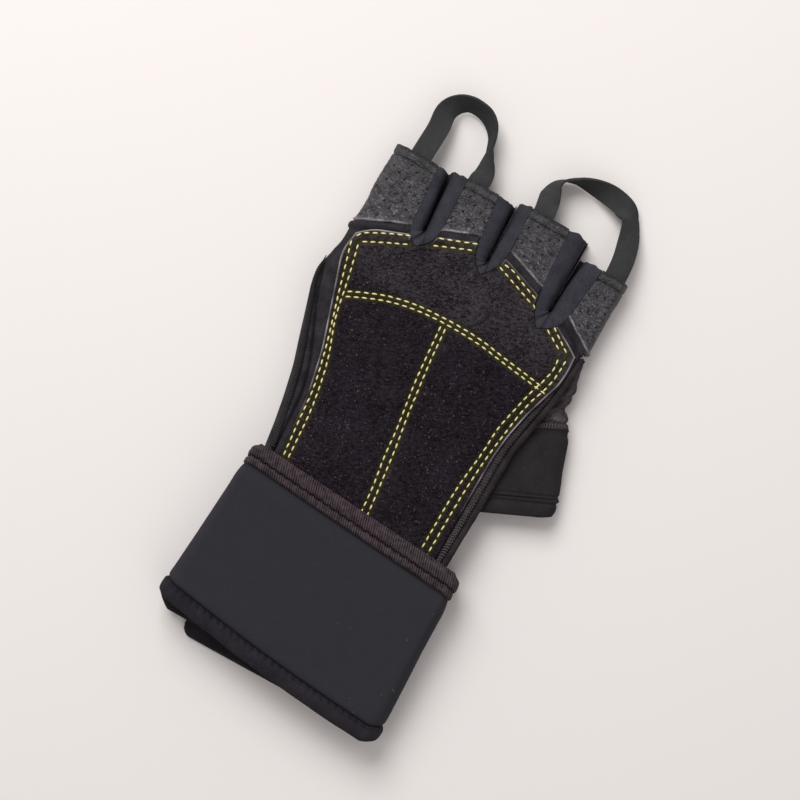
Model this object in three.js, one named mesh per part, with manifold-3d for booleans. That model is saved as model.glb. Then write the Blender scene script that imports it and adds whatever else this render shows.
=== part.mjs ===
// A half-finger weightlifting glove for the right hand, lying palm up with its wrist strap closed.
// Millimetres. +X points to the thumb side, +Y to the fingers and +Z out of the palm.
// The back of the hand lies on Z = 0, and the origin is in the middle of it.
import * as THREE from "three";
import { mergeVertices } from "three/addons/utils/BufferGeometryUtils.js";
import Module from "manifold-3d";

const wasm = await Module();
wasm.setup();

// Driving dimensions
const handWidth = 100; // hand breadth, which the outlines across the glove follow
const palmLength = 100; // palm from the strap's edge to the knuckle line, which the outlines along it follow
const stallLength = 30; // knuckle line to the finger openings
const handHeight = 11.8; // lying height of the hand and the stalls
const palmCrown = 0.8; // how much the middle of the palm stands above its edges
const sideRound = 6; // how far the rounding of the little-finger side reaches in
const thumbSideRound = 3; // the same on the thumb side
const backWall = 1.8;
const palmWall = 1.5;
const panelEdge = 1.4; // suede panel at its cut edge
const panelPad = 1.0; // padding in its middle
const leatherWall = 1.4;
const fourchetteWall = 1.2;
const tipRise = 1.6; // how much the bunched end of a side strip stands above the palm
const slotGap = 0.8; // half the slot between two stalls
const seamWidth = 2.2;
const seamHeight = 1.2;
const rollWidth = 2.6;
const rollHeight = 2.8;
const thumbWall = 1.7;
const thumbHeight = 9.8;
const thumbRound = 4; // how far the rounded edges of the flattened stall reach in
const cuffWall = 1.4;
const cuffHollow = 8;
const strapWall = 2;
const strapWidth = 68;
const bindingWidth = 8;
const bindingProud = 1.2;
const strapHemWidth = 6;
const strapHemProud = 0.5;
const hookLength = 38;
const hookWidth = 50;
const hookHeight = 0.8;
const tapeWidth = 8.5;
const tapeWall = 1;
const tapeTail = 7; // sewn length of tape inside a stall
const loopReach = 28; // how far the loops stand out past the stalls
const gap = 0.3; // air between two pieces that touch
const sleeveAir = 1.5 * gap; // half the air between the sewn lengths of the thumb stall

// The strap's turns lie under the wrist one on another, and lift it.
const strapInnerZ = strapWall + gap + hookHeight + gap;
const wristLift = strapInnerZ + strapWall + gap;
const cuffHeight = cuffHollow + 2 * cuffWall;
const strapTopZ = wristLift + cuffHeight + gap + strapWall;
const wristPalm = wristLift + cuffHeight - gap - panelEdge;
const knuckleY = palmLength / 2;
const handEnd = -0.56 * palmLength;

// Outlines: y is a share of palmLength, x a share of handWidth
const littleSide = [
  { y: -0.56, x: -0.415 },
  { y: -0.45, x: -0.425 },
  { y: -0.35, x: -0.44 },
  { y: -0.25, x: -0.46 },
  { y: -0.12, x: -0.49 },
  { y: 0.05, x: -0.545 },
  { y: 0.19, x: -0.59 },
  { y: 0.26, x: -0.592 },
  { y: 0.31, x: -0.58 },
  { y: 0.38, x: -0.563 },
  { y: 0.46, x: -0.563 },
  { y: 0.9, x: -0.563 },
];
const backThumbSide = [
  { y: -0.56, x: 0.4 },
  { y: -0.36, x: 0.4 },
  { y: -0.29, x: 0.352 },
  { y: 0.07, x: 0.296 },
  { y: 0.17, x: 0.325 },
  { y: 0.455, x: 0.462 },
  { y: 0.5, x: 0.472 },
  { y: 0.9, x: 0.472 },
];
const rollSide = [
  { y: -0.56, x: 0.402 },
  { y: -0.25, x: 0.41 },
  { y: 0, x: 0.412 },
  { y: 0.1, x: 0.43 },
  { y: 0.22, x: 0.452 },
  { y: 0.3, x: 0.462 },
  { y: 0.4, x: 0.468 },
  { y: 0.46, x: 0.475 },
];
// Where the seam sits on the rounding of the little-finger side: 0 is the floor, 1 the top of the palm.
const seamClimb = [
  { y: -0.56, x: 0.86 },
  { y: 0, x: 0.84 },
  { y: 0.16, x: 0.8 },
  { y: 0.28, x: 0.7 },
  { y: 0.36, x: 0.45 },
  { y: 0.44, x: 0.22 },
  { y: 0.9, x: 0.22 },
];
// How far round the thumb side the back is turned up: it stays flat where the thumb stall opens.
const thumbSideClimb = [
  { y: -0.56, x: 0.86 },
  { y: 0.02, x: 0.86 },
  { y: 0.09, x: 0 },
  { y: 0.47, x: 0 },
  { y: 0.52, x: 0.22 },
  { y: 0.9, x: 0.22 },
];
const panelLeft = [
  { y: -0.56, x: -0.345 },
  { y: -0.35, x: -0.365 },
  { y: -0.2, x: -0.38 },
  { y: -0.02, x: -0.42 },
  { y: 0.1, x: -0.46 },
  { y: 0.22, x: -0.5 },
  { y: 0.33, x: -0.538 },
  { y: 0.38, x: -0.54 },
  { y: 0.42, x: -0.53 },
];
const panelRight = [
  { y: -0.56, x: 0.35 },
  { y: -0.05, x: 0.35 },
  { y: 0.05, x: 0.36 },
  { y: 0.15, x: 0.38 },
  { y: 0.25, x: 0.41 },
  { y: 0.31, x: 0.43 },
  { y: 0.38, x: 0.435 },
  { y: 0.42, x: 0.43 },
];
// Upper edge of the suede and lower edge of the leather: x is a share of handWidth, y of palmLength
const panelTop = [
  { x: -0.56, y: 0.4 },
  { x: -0.52, y: 0.44 },
  { x: -0.48, y: 0.475 },
  { x: -0.35, y: 0.527 },
  { x: -0.25, y: 0.57 },
  { x: -0.11, y: 0.63 },
  { x: 0.01, y: 0.63 },
  { x: 0.19, y: 0.57 },
  { x: 0.3, y: 0.51 },
  { x: 0.4, y: 0.455 },
  { x: 0.45, y: 0.42 },
];
const leatherHem = [
  { x: -0.57, y: 0.465 },
  { x: -0.36, y: 0.56 },
  { x: -0.25, y: 0.597 },
  { x: -0.11, y: 0.655 },
  { x: 0.015, y: 0.66 },
  { x: 0.19, y: 0.6 },
  { x: 0.33, y: 0.555 },
  { x: 0.48, y: 0.46 },
];
// Stalls: x places as shares of handWidth, reach as a share of stallLength
const stalls = [
  { name: "pinky", left: -0.563, right: -0.333, reach: 1.01 },
  { name: "ring", left: -0.327, right: -0.053, reach: 1.067 },
  { name: "middle", left: -0.047, right: 0.262, reach: 1.14 },
  { name: "index", left: 0.272, right: 0.472, reach: 0.9 },
];
// Side strips. As shares of handWidth: the slot and the upper edges at the openings and at the crotch, and
// the bunched end. As shares of palmLength: the crotch and that end.
const strips = [
  {
    name: "pinky_ring", slotTop: -0.333, slotEnd: -0.308, leftTop: -0.38, leftEnd: -0.36,
    rightTop: -0.262, rightEnd: -0.252, endX: -0.308, crotch: 0.57, endY: 0.5,
  },
  {
    name: "ring_middle", slotTop: -0.05, slotEnd: -0.04, leftTop: -0.124, leftEnd: -0.109,
    rightTop: 0.006, rightEnd: 0.013, endX: -0.042, crotch: 0.585, endY: 0.53,
  },
  {
    name: "middle_index", slotTop: 0.267, slotEnd: 0.262, leftTop: 0.172, leftEnd: 0.19,
    rightTop: 0.354, rightEnd: 0.33, endX: 0.247, crotch: 0.54, endY: 0.46,
  },
];
const stripPoint = 1.15; // how pointed the bunched ends are: 1 is round
// Thumb stall, one row for each section from the hand to the hem: inner and outer end of the flattened sleeve
const thumbSections = [
  { innerX: 0.331, innerY: 0.17, outerX: 0.47, outerY: 0.45 },
  { innerX: 0.315, innerY: 0.13, outerX: 0.49, outerY: 0.325 },
  { innerX: 0.305, innerY: 0.1, outerX: 0.502, outerY: 0.25 },
  { innerX: 0.301, innerY: 0.07, outerX: 0.545, outerY: 0.19 },
  { innerX: 0.32, innerY: -0.06, outerX: 0.598, outerY: 0.03 },
  { innerX: 0.347, innerY: -0.205, outerX: 0.646, outerY: -0.065 },
  { innerX: 0.358, innerY: -0.275, outerX: 0.65, outerY: -0.135 },
];
const gussetSections = [0, 3];
const thumbBandSections = [3, 5];
const thumbHemSections = [5, 6];
// Strap, one row for each place on its way round: how far its edges lie below strapTop, as shares of
// strapWidth
const strapTop = -0.45 * palmLength;
const strapStations = {
  start: { top: 0.05, low: 1.06 },
  leftUnder: { top: 0.03, low: 1.06 },
  leftCrest: { top: 0.03, low: 0.965 },
  leftOver: { top: 0, low: 0.995 },
  rightOver: { top: 0.085, low: 1.1 },
  rightCrest: { top: 0.125, low: 1.085 },
  rightUnder: { top: 0.1, low: 1.125 },
  nearEnd: { top: 0.13, low: 1.145 },
  end: { top: 0.16, low: 1.11 },
};
const strapLeft = { top: -0.458, low: -0.503 }; // reach of the folds, as shares of handWidth
const strapRight = { top: 0.475, low: 0.505 };
const strapEndX = -0.35 * handWidth;
const strapFold = 0.065 * handWidth;
const strapCorner = 3.5; // rounding of its free end's corners
// Loops, one row for each place on the free tape: x as a share of handWidth, out as a share of loopReach past
// the line between the two openings, height of its middle as a share of the height at which it leaves the
// stalls, and the lean of its width in degrees: 0 lies flat, 90 stands on edge
const outerLoop = [
  { x: -0.461, out: 0, height: 1, lean: 0 },
  { x: -0.459, out: 0.24, height: 0.9, lean: 0 },
  { x: -0.458, out: 0.47, height: 0.74, lean: 6 },
  { x: -0.463, out: 0.73, height: 0.6, lean: 22 },
  { x: -0.438, out: 0.88, height: 0.55, lean: 42 },
  { x: -0.4, out: 0.96, height: 0.52, lean: 56 },
  { x: -0.362, out: 0.965, height: 0.52, lean: 58 },
  { x: -0.32, out: 0.93, height: 0.52, lean: 58 },
  { x: -0.286, out: 0.84, height: 0.53, lean: 64 },
  { x: -0.262, out: 0.71, height: 0.54, lean: 74 },
  { x: -0.246, out: 0.52, height: 0.58, lean: 80 },
  { x: -0.233, out: 0.35, height: 0.68, lean: 60 },
  { x: -0.22, out: 0.18, height: 0.82, lean: 26 },
  { x: -0.22, out: 0, height: 1, lean: 0 },
];
const innerLoop = [
  { x: 0.056, out: 0, height: 1, lean: 0 },
  { x: 0.048, out: 0.22, height: 0.86, lean: -10 },
  { x: 0.035, out: 0.4, height: 0.7, lean: -38 },
  { x: 0.034, out: 0.545, height: 0.58, lean: -76 },
  { x: 0.06, out: 0.66, height: 0.54, lean: -96 },
  { x: 0.12, out: 0.765, height: 0.5, lean: -112 },
  { x: 0.18, out: 0.83, height: 0.48, lean: -136 },
  { x: 0.24, out: 0.87, height: 0.46, lean: -155 },
  { x: 0.292, out: 0.85, height: 0.46, lean: -158 },
  { x: 0.332, out: 0.765, height: 0.5, lean: -148 },
  { x: 0.364, out: 0.65, height: 0.58, lean: -152 },
  { x: 0.386, out: 0.5, height: 0.68, lean: -168 },
  { x: 0.396, out: 0.28, height: 0.84, lean: -180 },
  { x: 0.394, out: 0, height: 1, lean: -180 },
];

const sideSteps = 6; // grid lines on a rounded side
const sideReach = 0.94; // how far up a rounded side they go before the flat top
const handRows = 16;
const stallRows = 5;

const lerp = (a, b, t) => a + (b - a) * t;
const clamp = (v, low, high) => Math.min(high, Math.max(low, v));
const smooth = (from, to, v) => {
  const t = clamp((v - from) / (to - from), 0, 1);
  return t * t * (3 - 2 * t);
};
const spread = (count) => Array.from({ length: count + 1 }, (_, i) => i / count);

// Reads a table of rows along one column, with straight runs between the rows.
function read(table, key, at, want) {
  const last = table.length - 1;
  if (at <= table[0][key]) return table[0][want];
  for (let i = 0; i < last; i++) {
    const a = table[i];
    const b = table[i + 1];
    if (at <= b[key]) return lerp(a[want], b[want], (at - a[key]) / (b[key] - a[key]));
  }
  return table[last][want];
}
const acrossAt = (table, y) => handWidth * read(table, "y", y / palmLength, "x");
const alongAt = (table, x) => palmLength * read(table, "x", x / handWidth, "y");
const shareAt = (table, y) => read(table, "y", y / palmLength, "x");

// The glove's lower and upper faces as it lies
const floorZ = (y) => wristLift * smooth(-0.26 * palmLength, -0.47 * palmLength, y);
const edgeZ = (y) =>
  handHeight + (wristPalm - handHeight) * smooth(-0.16 * palmLength, -0.47 * palmLength, y);
function crown(x, y) {
  const across = clamp(1 - (x / (0.4 * handWidth)) ** 2, 0, 1);
  const fromWrist = smooth(handEnd + 0.12 * palmLength, -0.2 * palmLength, y);
  const toFingers = smooth(0.52 * palmLength, 0.3 * palmLength, y);
  return palmCrown * across * fromWrist * toFingers;
}
// Half the air at a seam on a rounded side, as a share of the way up it
const seamShare = (round) => gap / (4 * round);
// A point on a side that is rounded from the floor, climb 0, to the top, climb 1
function sidePoint(y, climb, edgeX, round, top = edgeZ(y)) {
  const inward = round * (1 - Math.sin(Math.PI * climb));
  const z = floorZ(y) + ((top - floorZ(y)) * (1 - Math.cos(Math.PI * climb))) / 2;
  return new THREE.Vector3(edgeX + Math.sign(-edgeX) * inward, y, z);
}
function topZ(x, y) {
  const edge = acrossAt(littleSide, y);
  const t = clamp((edge + sideRound - x) / sideRound, 0, 1);
  const half = (edgeZ(y) - floorZ(y)) / 2;
  return floorZ(y) + half + half * Math.sqrt(1 - t * t) + crown(x, y);
}

// A closed solid from an outer and an inner grid of points. around joins the last column to the first.
function solidFromGrids(outer, inner, around = false) {
  const rows = outer.length;
  const cols = outer[0].length;
  const position = [...outer, ...inner].flat().flatMap((p) => [p.x, p.y, p.z]);
  const at = (layer, i, j) => layer * rows * cols + i * cols + (j % cols);
  const index = [];
  const quad = (a, b, c, d) => index.push(a, b, c, a, c, d);
  const lastCol = around ? cols : cols - 1;
  for (let i = 0; i < rows - 1; i++)
    for (let j = 0; j < lastCol; j++) {
      quad(at(0, i, j), at(0, i, j + 1), at(0, i + 1, j + 1), at(0, i + 1, j));
      quad(at(1, i, j), at(1, i + 1, j), at(1, i + 1, j + 1), at(1, i, j + 1));
    }
  for (let j = 0; j < lastCol; j++) {
    quad(at(0, 0, j), at(1, 0, j), at(1, 0, j + 1), at(0, 0, j + 1));
    quad(at(0, rows - 1, j), at(0, rows - 1, j + 1), at(1, rows - 1, j + 1), at(1, rows - 1, j));
  }
  if (!around)
    for (let i = 0; i < rows - 1; i++) {
      quad(at(0, i, 0), at(0, i + 1, 0), at(1, i + 1, 0), at(1, i, 0));
      quad(at(0, i, cols - 1), at(1, i, cols - 1), at(1, i + 1, cols - 1), at(0, i + 1, cols - 1));
    }
  return outward(position, index);
}
// Turns the faces round where they point inwards.
function outward(position, index) {
  const p = (i) => new THREE.Vector3(position[3 * i], position[3 * i + 1], position[3 * i + 2]);
  let volume = 0;
  for (let i = 0; i < index.length; i += 3)
    volume += p(index[i]).dot(p(index[i + 1]).cross(p(index[i + 2])));
  if (volume < 0)
    for (let i = 0; i < index.length; i += 3) [index[i], index[i + 1]] = [index[i + 1], index[i]];
  const geometry = new THREE.BufferGeometry();
  geometry.setAttribute("position", new THREE.Float32BufferAttribute(position, 3));
  geometry.setIndex(index);
  return geometry;
}
// Direction at the end of a line, following the bend of its last three points. It is 0 if they are all one.
function endDirection(end, next, far) {
  const near = next.clone().sub(end);
  const beyond = far.clone().sub(next);
  const share = near.length() / (near.length() + beyond.length() || 1);
  return near.normalize().multiplyScalar(1 + share).addScaledVector(beyond.normalize(), -share);
}
function lineDirection(points, i, around) {
  const last = points.length - 1;
  if (around) return points[(i + 1) % (last + 1)].clone().sub(points[(i + last) % (last + 1)]);
  if (i === 0) return endDirection(points[0], points[1], points[2]);
  if (i === last) return endDirection(points[last], points[last - 1], points[last - 2]).negate();
  return points[i + 1].clone().sub(points[i - 1]);
}
function gridNormals(grid, around = false) {
  return grid.map((row, i) =>
    row.map((_, j) => {
      const across = lineDirection(row, j, around);
      const along = lineDirection(grid.map((line) => line[j]), i, false);
      return across.cross(along).normalize();
    }),
  );
}
// A wall whose second face lies on the side of the grid that inside names: 1 along its normals, or -1
function wallSolid(grid, wall, inside, around = false) {
  const normals = gridNormals(grid, around);
  const second = grid.map((row, i) =>
    row.map((p, j) => p.clone().addScaledVector(normals[i][j], inside * wall)),
  );
  return solidFromGrids(grid, second, around);
}
// A bar lofted through closed rings of points
function barSolid(rings) {
  const rows = rings.length;
  const cols = rings[0].length;
  const position = rings.flat().flatMap((p) => [p.x, p.y, p.z]);
  const index = [];
  for (let i = 0; i < rows - 1; i++)
    for (let j = 0; j < cols; j++) {
      const k = (j + 1) % cols;
      const ring = i * cols;
      const next = ring + cols;
      index.push(ring + j, ring + k, next + k, ring + j, next + k, next + j);
    }
  for (let j = 1; j < cols - 1; j++) {
    index.push(0, j + 1, j);
    index.push((rows - 1) * cols, (rows - 1) * cols + j, (rows - 1) * cols + j + 1);
  }
  return outward(position, index);
}
function toManifold(geometry) {
  const bare = geometry.clone();
  bare.deleteAttribute("normal");
  bare.deleteAttribute("uv");
  const merged = mergeVertices(bare, 1e-4);
  const mesh = new wasm.Mesh({
    numProp: 3,
    vertProperties: new Float32Array(merged.attributes.position.array),
    triVerts: new Uint32Array(merged.index.array),
  });
  return new wasm.Manifold(mesh);
}
function fromManifold(solid) {
  const mesh = solid.getMesh();
  const geometry = new THREE.BufferGeometry();
  geometry.setAttribute("position", new THREE.Float32BufferAttribute(Array.from(mesh.vertProperties), 3));
  geometry.setIndex(Array.from(mesh.triVerts));
  return geometry;
}
// An upright prism over a plan outline, from one height to another
function prism(points, low, high) {
  const shape = new THREE.Shape(points.map(([x, y]) => new THREE.Vector2(x, y)));
  const geometry = new THREE.ExtrudeGeometry(shape, { depth: high - low, bevelEnabled: false });
  return geometry.translate(0, 0, low);
}

// Back of the hand: one sheet with four finger tabs, turned up along both sides
const stallTop = (stall) => knuckleY + stallLength * stall.reach;
const fingersLeft = handWidth * stalls[0].left;
const fingersRight = handWidth * stalls[3].right;
function backShell() {
  const fingersAcross = fingersRight - fingersLeft;
  const flatAcross = fingersAcross - sideRound - thumbSideRound;
  const cols = [];
  for (const t of spread(sideSteps)) cols.push({ side: "left", t: 1 - t, top: stallTop(stalls[0]) });
  for (const stall of stalls) {
    const from = handWidth * stall.left + (stall === stalls[0] ? sideRound * 1.4 : 0);
    const to = handWidth * stall.right - (stall === stalls[3] ? thumbSideRound * 1.4 : 0);
    for (const t of spread(3)) {
      const share = (lerp(from, to, t) - fingersLeft - sideRound) / flatAcross;
      cols.push({ share: clamp(share, 0.01, 0.99), top: stallTop(stall) });
    }
  }
  for (const t of spread(4)) cols.push({ side: "right", t, top: stallTop(stalls[3]) });
  const grid = spread(handRows + stallRows).map((rowShare) =>
    cols.map((col) => {
      const y = lerp(handEnd, col.top, rowShare);
      const left = acrossAt(littleSide, y);
      const right = acrossAt(backThumbSide, y);
      if (col.side === "left") {
        const climb = shareAt(seamClimb, y) - seamShare(sideRound);
        return sidePoint(y, climb * col.t, left, sideRound);
      }
      if (col.side === "right") {
        const climb = Math.max(0, shareAt(thumbSideClimb, y) - seamShare(thumbSideRound));
        const under = lerp(palmWall + gap, 0, smooth(0.45 * palmLength, knuckleY, y));
        return sidePoint(y, climb * col.t, right, thumbSideRound, edgeZ(y) - under);
      }
      return new THREE.Vector3(lerp(left + sideRound, right - thumbSideRound, col.share), y, floorZ(y));
    }),
  );
  let solid = toManifold(wallSolid(grid, backWall, 1));
  for (const strip of strips) {
    const top = knuckleY + 2 * stallLength;
    const topX = handWidth * strip.slotTop;
    const endX = handWidth * strip.slotEnd;
    const y = palmLength * strip.crotch;
    const outline = [
      [endX - slotGap, y],
      [endX + slotGap, y],
      [topX + slotGap, top],
      [topX - slotGap, top],
    ];
    solid = solid.subtract(toManifold(prism(outline, -handHeight, 2 * handHeight)));
  }
  return fromManifold(solid);
}

// Side strips between the stalls: from one finger opening down to the crotch, round it and up again. Each is
// a quarter round in section, from the slot's lower edge up and over to the leather.
function stripCurves(strip, stallLeft, stallRight) {
  const low = [];
  const high = [];
  const sideRows = spread(4);
  const turnRows = spread(5);
  const crotchY = palmLength * strip.crotch;
  const endY = palmLength * strip.endY;
  const tipX = handWidth * strip.endX;
  const endX = handWidth * strip.slotEnd;
  const sides = [
    { sign: -1, top: strip.leftTop, end: strip.leftEnd, stall: stallLeft },
    { sign: 1, top: strip.rightTop, end: strip.rightEnd, stall: stallRight },
  ];
  for (const side of sides) {
    const openY = stallTop(side.stall);
    const endEdge = handWidth * side.end;
    const shoulderY = alongAt(leatherHem, endEdge);
    const part = [];
    for (const t of sideRows)
      part.push({
        low: [
          lerp(handWidth * strip.slotTop, endX, t) + side.sign * slotGap,
          lerp(openY, crotchY + slotGap, t),
        ],
        high: [lerp(handWidth * side.top, endEdge, t), lerp(openY, shoulderY, t)],
      });
    for (const t of turnRows.slice(1)) {
      const angle = (t * Math.PI) / 2;
      const round = Math.max(0, Math.cos(angle)) ** stripPoint;
      part.push({
        low: [
          endX + side.sign * slotGap * Math.cos(angle),
          crotchY + slotGap - slotGap * Math.sin(angle),
        ],
        high: [lerp(tipX, endEdge, round), lerp(shoulderY, endY, Math.sin(angle))],
      });
    }
    if (side.sign > 0) part.reverse();
    const kept = side.sign > 0 ? part.slice(1) : part;
    low.push(...kept.map((p) => p.low));
    high.push(...kept.map((p) => p.high));
  }
  return { low, high };
}
const stripEdges = strips.map((strip, i) => stripCurves(strip, stalls[i], stalls[i + 1]));
function fourchette(strip, curves) {
  const grid = spread(5).map((t) =>
    curves.low.map(([lowX, lowY], j) => {
      const [highX, highY] = curves.high[j];
      const lean = 1 - Math.cos((t * Math.PI) / 2);
      const y = lerp(lowY, highY, lean);
      const near = smooth(palmLength * (strip.crotch + 0.02), palmLength * strip.endY, highY);
      const low = backWall + gap;
      const high = edgeZ(highY) + tipRise * near;
      return new THREE.Vector3(lerp(lowX, highX, lean), y, lerp(low, high, Math.sin((t * Math.PI) / 2)));
    }),
  );
  return wallSolid(grid, fourchetteWall, 1);
}
// Plan outline of all that lies inside a strip's upper edge, let out by a clearance
function stripClearing(strip, curves, clearance) {
  const endX = handWidth * strip.slotEnd;
  const crotchY = palmLength * strip.crotch;
  const points = curves.high.map(([x, y]) => {
    const away = new THREE.Vector2(x - endX, Math.min(0, y - crotchY));
    if (y >= crotchY) away.set(x - endX, 0);
    away.normalize().multiplyScalar(clearance);
    return [x + away.x, y + away.y];
  });
  const top = knuckleY + 2 * stallLength;
  points.unshift([points[0][0], top]);
  points.push([points[points.length - 1][0], top]);
  return points;
}
function cutStrips(geometry, clearance) {
  let solid = toManifold(geometry);
  strips.forEach((strip, i) => {
    const outline = stripClearing(strip, stripEdges[i], clearance);
    solid = solid.subtract(toManifold(prism(outline, -handHeight, 3 * handHeight)));
  });
  return fromManifold(solid);
}

// Palm base: from the seam on the little-finger side to the rolled edge at the thumb
const rollInner = (y) => acrossAt(rollSide, y) - rollWidth - gap;
function palmShell() {
  const flat = [0, 0.1, 0.2, 0.3, 0.38, 0.44, 0.5, 0.58, 0.66, 0.74, 0.82, 0.9, 1];
  const grid = spread(handRows).map((rowShare) => {
    const columns = [];
    for (const t of spread(sideSteps)) columns.push({ t });
    for (const share of flat) columns.push({ share });
    return columns.map((col) => {
      const onSide = col.share === undefined;
      const climbTop = lerp(shareAt(seamClimb, knuckleY), 1, col.t);
      const topX = onSide
        ? sidePoint(knuckleY, climbTop, fingersLeft, sideRound).x
        : lerp(fingersLeft + sideRound, rollInner(knuckleY), col.share);
      const y = lerp(handEnd, alongAt(leatherHem, topX) - 2 * gap, rowShare);
      const left = acrossAt(littleSide, y);
      if (onSide) {
        const climb = lerp(shareAt(seamClimb, y) + seamShare(sideRound), 1, col.t * sideReach);
        return sidePoint(y, climb, left, sideRound);
      }
      const x = lerp(left + sideRound, rollInner(y), col.share);
      return new THREE.Vector3(x, y, topZ(x, y));
    });
  });
  return cutStrips(wallSolid(grid, palmWall, -1), 1.5 * gap);
}
function palmPanel() {
  const sideShares = [0, 0.04, 0.12, 0.22, 0.33, 0.44, 0.56, 0.67, 0.78, 0.88, 0.96, 1];
  const rowShares = spread(14);
  const topLeft = handWidth * panelLeft[panelLeft.length - 1].x;
  const topRight = handWidth * panelRight[panelRight.length - 1].x;
  const lower = rowShares.map((rowShare) =>
    sideShares.map((share) => {
      const y = lerp(handEnd, alongAt(panelTop, lerp(topLeft, topRight, share)), rowShare);
      const x = lerp(acrossAt(panelLeft, y), acrossAt(panelRight, y), share);
      return new THREE.Vector3(x, y, topZ(x, y) + gap);
    }),
  );
  const upper = lower.map((row, i) =>
    row.map((p, j) => {
      const across = Math.min(1, 5 * Math.min(sideShares[j], 1 - sideShares[j]));
      const along = smooth(0.1, 0.3, rowShares[i]) * smooth(1, 0.85, rowShares[i]);
      return p.clone().setZ(p.z + panelEdge + panelPad * across * along);
    }),
  );
  return cutStrips(solidFromGrids(upper, lower), 2 * gap);
}

// A ring of points round an oval with these two half axes
function oval(middle, across, up) {
  return spread(8).slice(1).map((turn) => {
    const angle = 2 * Math.PI * turn;
    return middle.clone().addScaledVector(across, Math.cos(angle)).addScaledVector(up, Math.sin(angle));
  });
}
// Bound seam on the little-finger side, a low oval bar over the edges of back and palm
function pinkySeam() {
  const rings = spread(12).map((t) => {
    const y = lerp(-0.43 * palmLength, 0.32 * palmLength, t);
    const edge = acrossAt(littleSide, y);
    const climb = shareAt(seamClimb, y);
    const p = sidePoint(y, climb, edge, sideRound);
    const ahead = sidePoint(y, climb + 0.01, edge, sideRound).sub(p).normalize();
    const out = new THREE.Vector3(-ahead.z, 0, ahead.x).normalize();
    const middle = p.clone().addScaledVector(out, 1.3 * gap + seamHeight / 2);
    const taper = 0.55 + 0.45 * smooth(1, 0.85, t);
    return oval(middle, ahead.multiplyScalar((taper * seamWidth) / 2), out.multiplyScalar(seamHeight / 2));
  });
  return barSolid(rings);
}
// Rolled edge of the palm beside the thumb
function thumbSideRoll() {
  const rings = spread(16).map((t) => {
    const y = lerp(handEnd, 0.44 * palmLength, t);
    const x = acrossAt(rollSide, y) - rollWidth / 2;
    const middle = new THREE.Vector3(x, y, edgeZ(y) - palmWall + rollHeight / 2);
    return oval(middle, new THREE.Vector3(rollWidth / 2, 0, 0), new THREE.Vector3(0, 0, rollHeight / 2));
  });
  return barSolid(rings);
}

// Leather fronts of the stalls. The outer two are turned down round the side of the hand.
function fingerFront(index) {
  const stall = stalls[index];
  const topY = stallTop(stall);
  const before = strips[index - 1];
  const after = strips[index];
  const columns = [];
  if (!before) for (const t of spread(sideSteps)) columns.push({ side: "left", t });
  for (const t of spread(4)) columns.push({ share: t });
  if (!after) for (const t of spread(sideSteps)) columns.push({ side: "right", t: 1 - t });
  const round = before ? thumbSideRound : sideRound;
  const climbFrom = shareAt(before ? thumbSideClimb : seamClimb, topY) + seamShare(round);
  const leftEdge = before ? [before.rightEnd, before.rightTop] : [stall.left, stall.left];
  const rightEdge = after ? [after.leftEnd, after.leftTop] : [stall.right, stall.right];
  const grid = spread(stallRows).map((rowShare) =>
    columns.map((col) => {
      const leftX = handWidth * lerp(...leftEdge, rowShare);
      const rightX = handWidth * lerp(...rightEdge, rowShare);
      const from = before ? leftX + gap : leftX + sideRound;
      const to = after ? rightX - gap : rightX - thumbSideRound;
      const sideX = col.side === "left" ? leftX : rightX;
      const onSide = (y) => sidePoint(y, lerp(climbFrom, 1, col.t * sideReach), sideX, round);
      const x = col.side ? onSide(topY).x : lerp(from, to, col.share);
      const y = lerp(alongAt(leatherHem, x), topY, rowShare);
      return col.side ? onSide(y) : new THREE.Vector3(x, y, edgeZ(y));
    }),
  );
  return wallSolid(grid, leatherWall, -1);
}

// Flattened sleeve section between two ends, as a ring of points
function flatRing(inner, outer, low, high, round, steps = 4) {
  const along = outer.clone().sub(inner);
  const length = along.length();
  along.normalize();
  const half = (high - low) / 2;
  const ring = [];
  const put = (w, z) => ring.push(inner.clone().addScaledVector(along, w).setZ(low + half + z));
  const turns = spread(steps).slice(1, -1).map((t) => Math.PI * t);
  for (const t of spread(4)) put(lerp(round, length - round, t), -half);
  for (const turn of turns) put(length - round + round * Math.sin(turn), -half * Math.cos(turn));
  for (const t of spread(4)) put(lerp(length - round, round, t), half);
  for (const turn of turns) put(round - round * Math.sin(turn), half * Math.cos(turn));
  return ring;
}
function thumbSleeve([first, last]) {
  const rail = (name, s) => {
    const i = Math.min(Math.floor(s), thumbSections.length - 2);
    const place = (row) => new THREE.Vector3(row[name + "X"] * handWidth, row[name + "Y"] * palmLength, 0);
    return place(thumbSections[i]).lerp(place(thumbSections[i + 1]), s - i);
  };
  // Share of a section step that leaves the air between two lengths of the stall, on one rail
  const air = (name, s) => {
    if (s === 0 || s === thumbSections.length - 1) return 0;
    const away = s === first ? 1 : -1;
    return (sleeveAir * away) / rail(name, s).distanceTo(rail(name, s + away));
  };
  const rings = spread(2 * (last - first)).map((t) => {
    const end = (name) => rail(name, lerp(first + air(name, first), last + air(name, last), t));
    return flatRing(end("inner"), end("outer"), 0, thumbHeight, thumbRound);
  });
  return wallSolid(rings, thumbWall, -1, true);
}

// Wrist tube of the glove, inside the strap
const cuffEnd = strapTop - 0.97 * strapWidth;
function cuff() {
  const rings = spread(4).map((t) => {
    const y = lerp(handEnd - gap, cuffEnd, t);
    const inner = new THREE.Vector3(acrossAt(littleSide, handEnd), y, 0);
    const outer = new THREE.Vector3(acrossAt(rollSide, handEnd), y, 0);
    return flatRing(inner, outer, wristLift, wristLift + cuffHeight, 0.35 * cuffHeight, 6);
  });
  return wallSolid(rings, cuffWall, -1, true);
}

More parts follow.
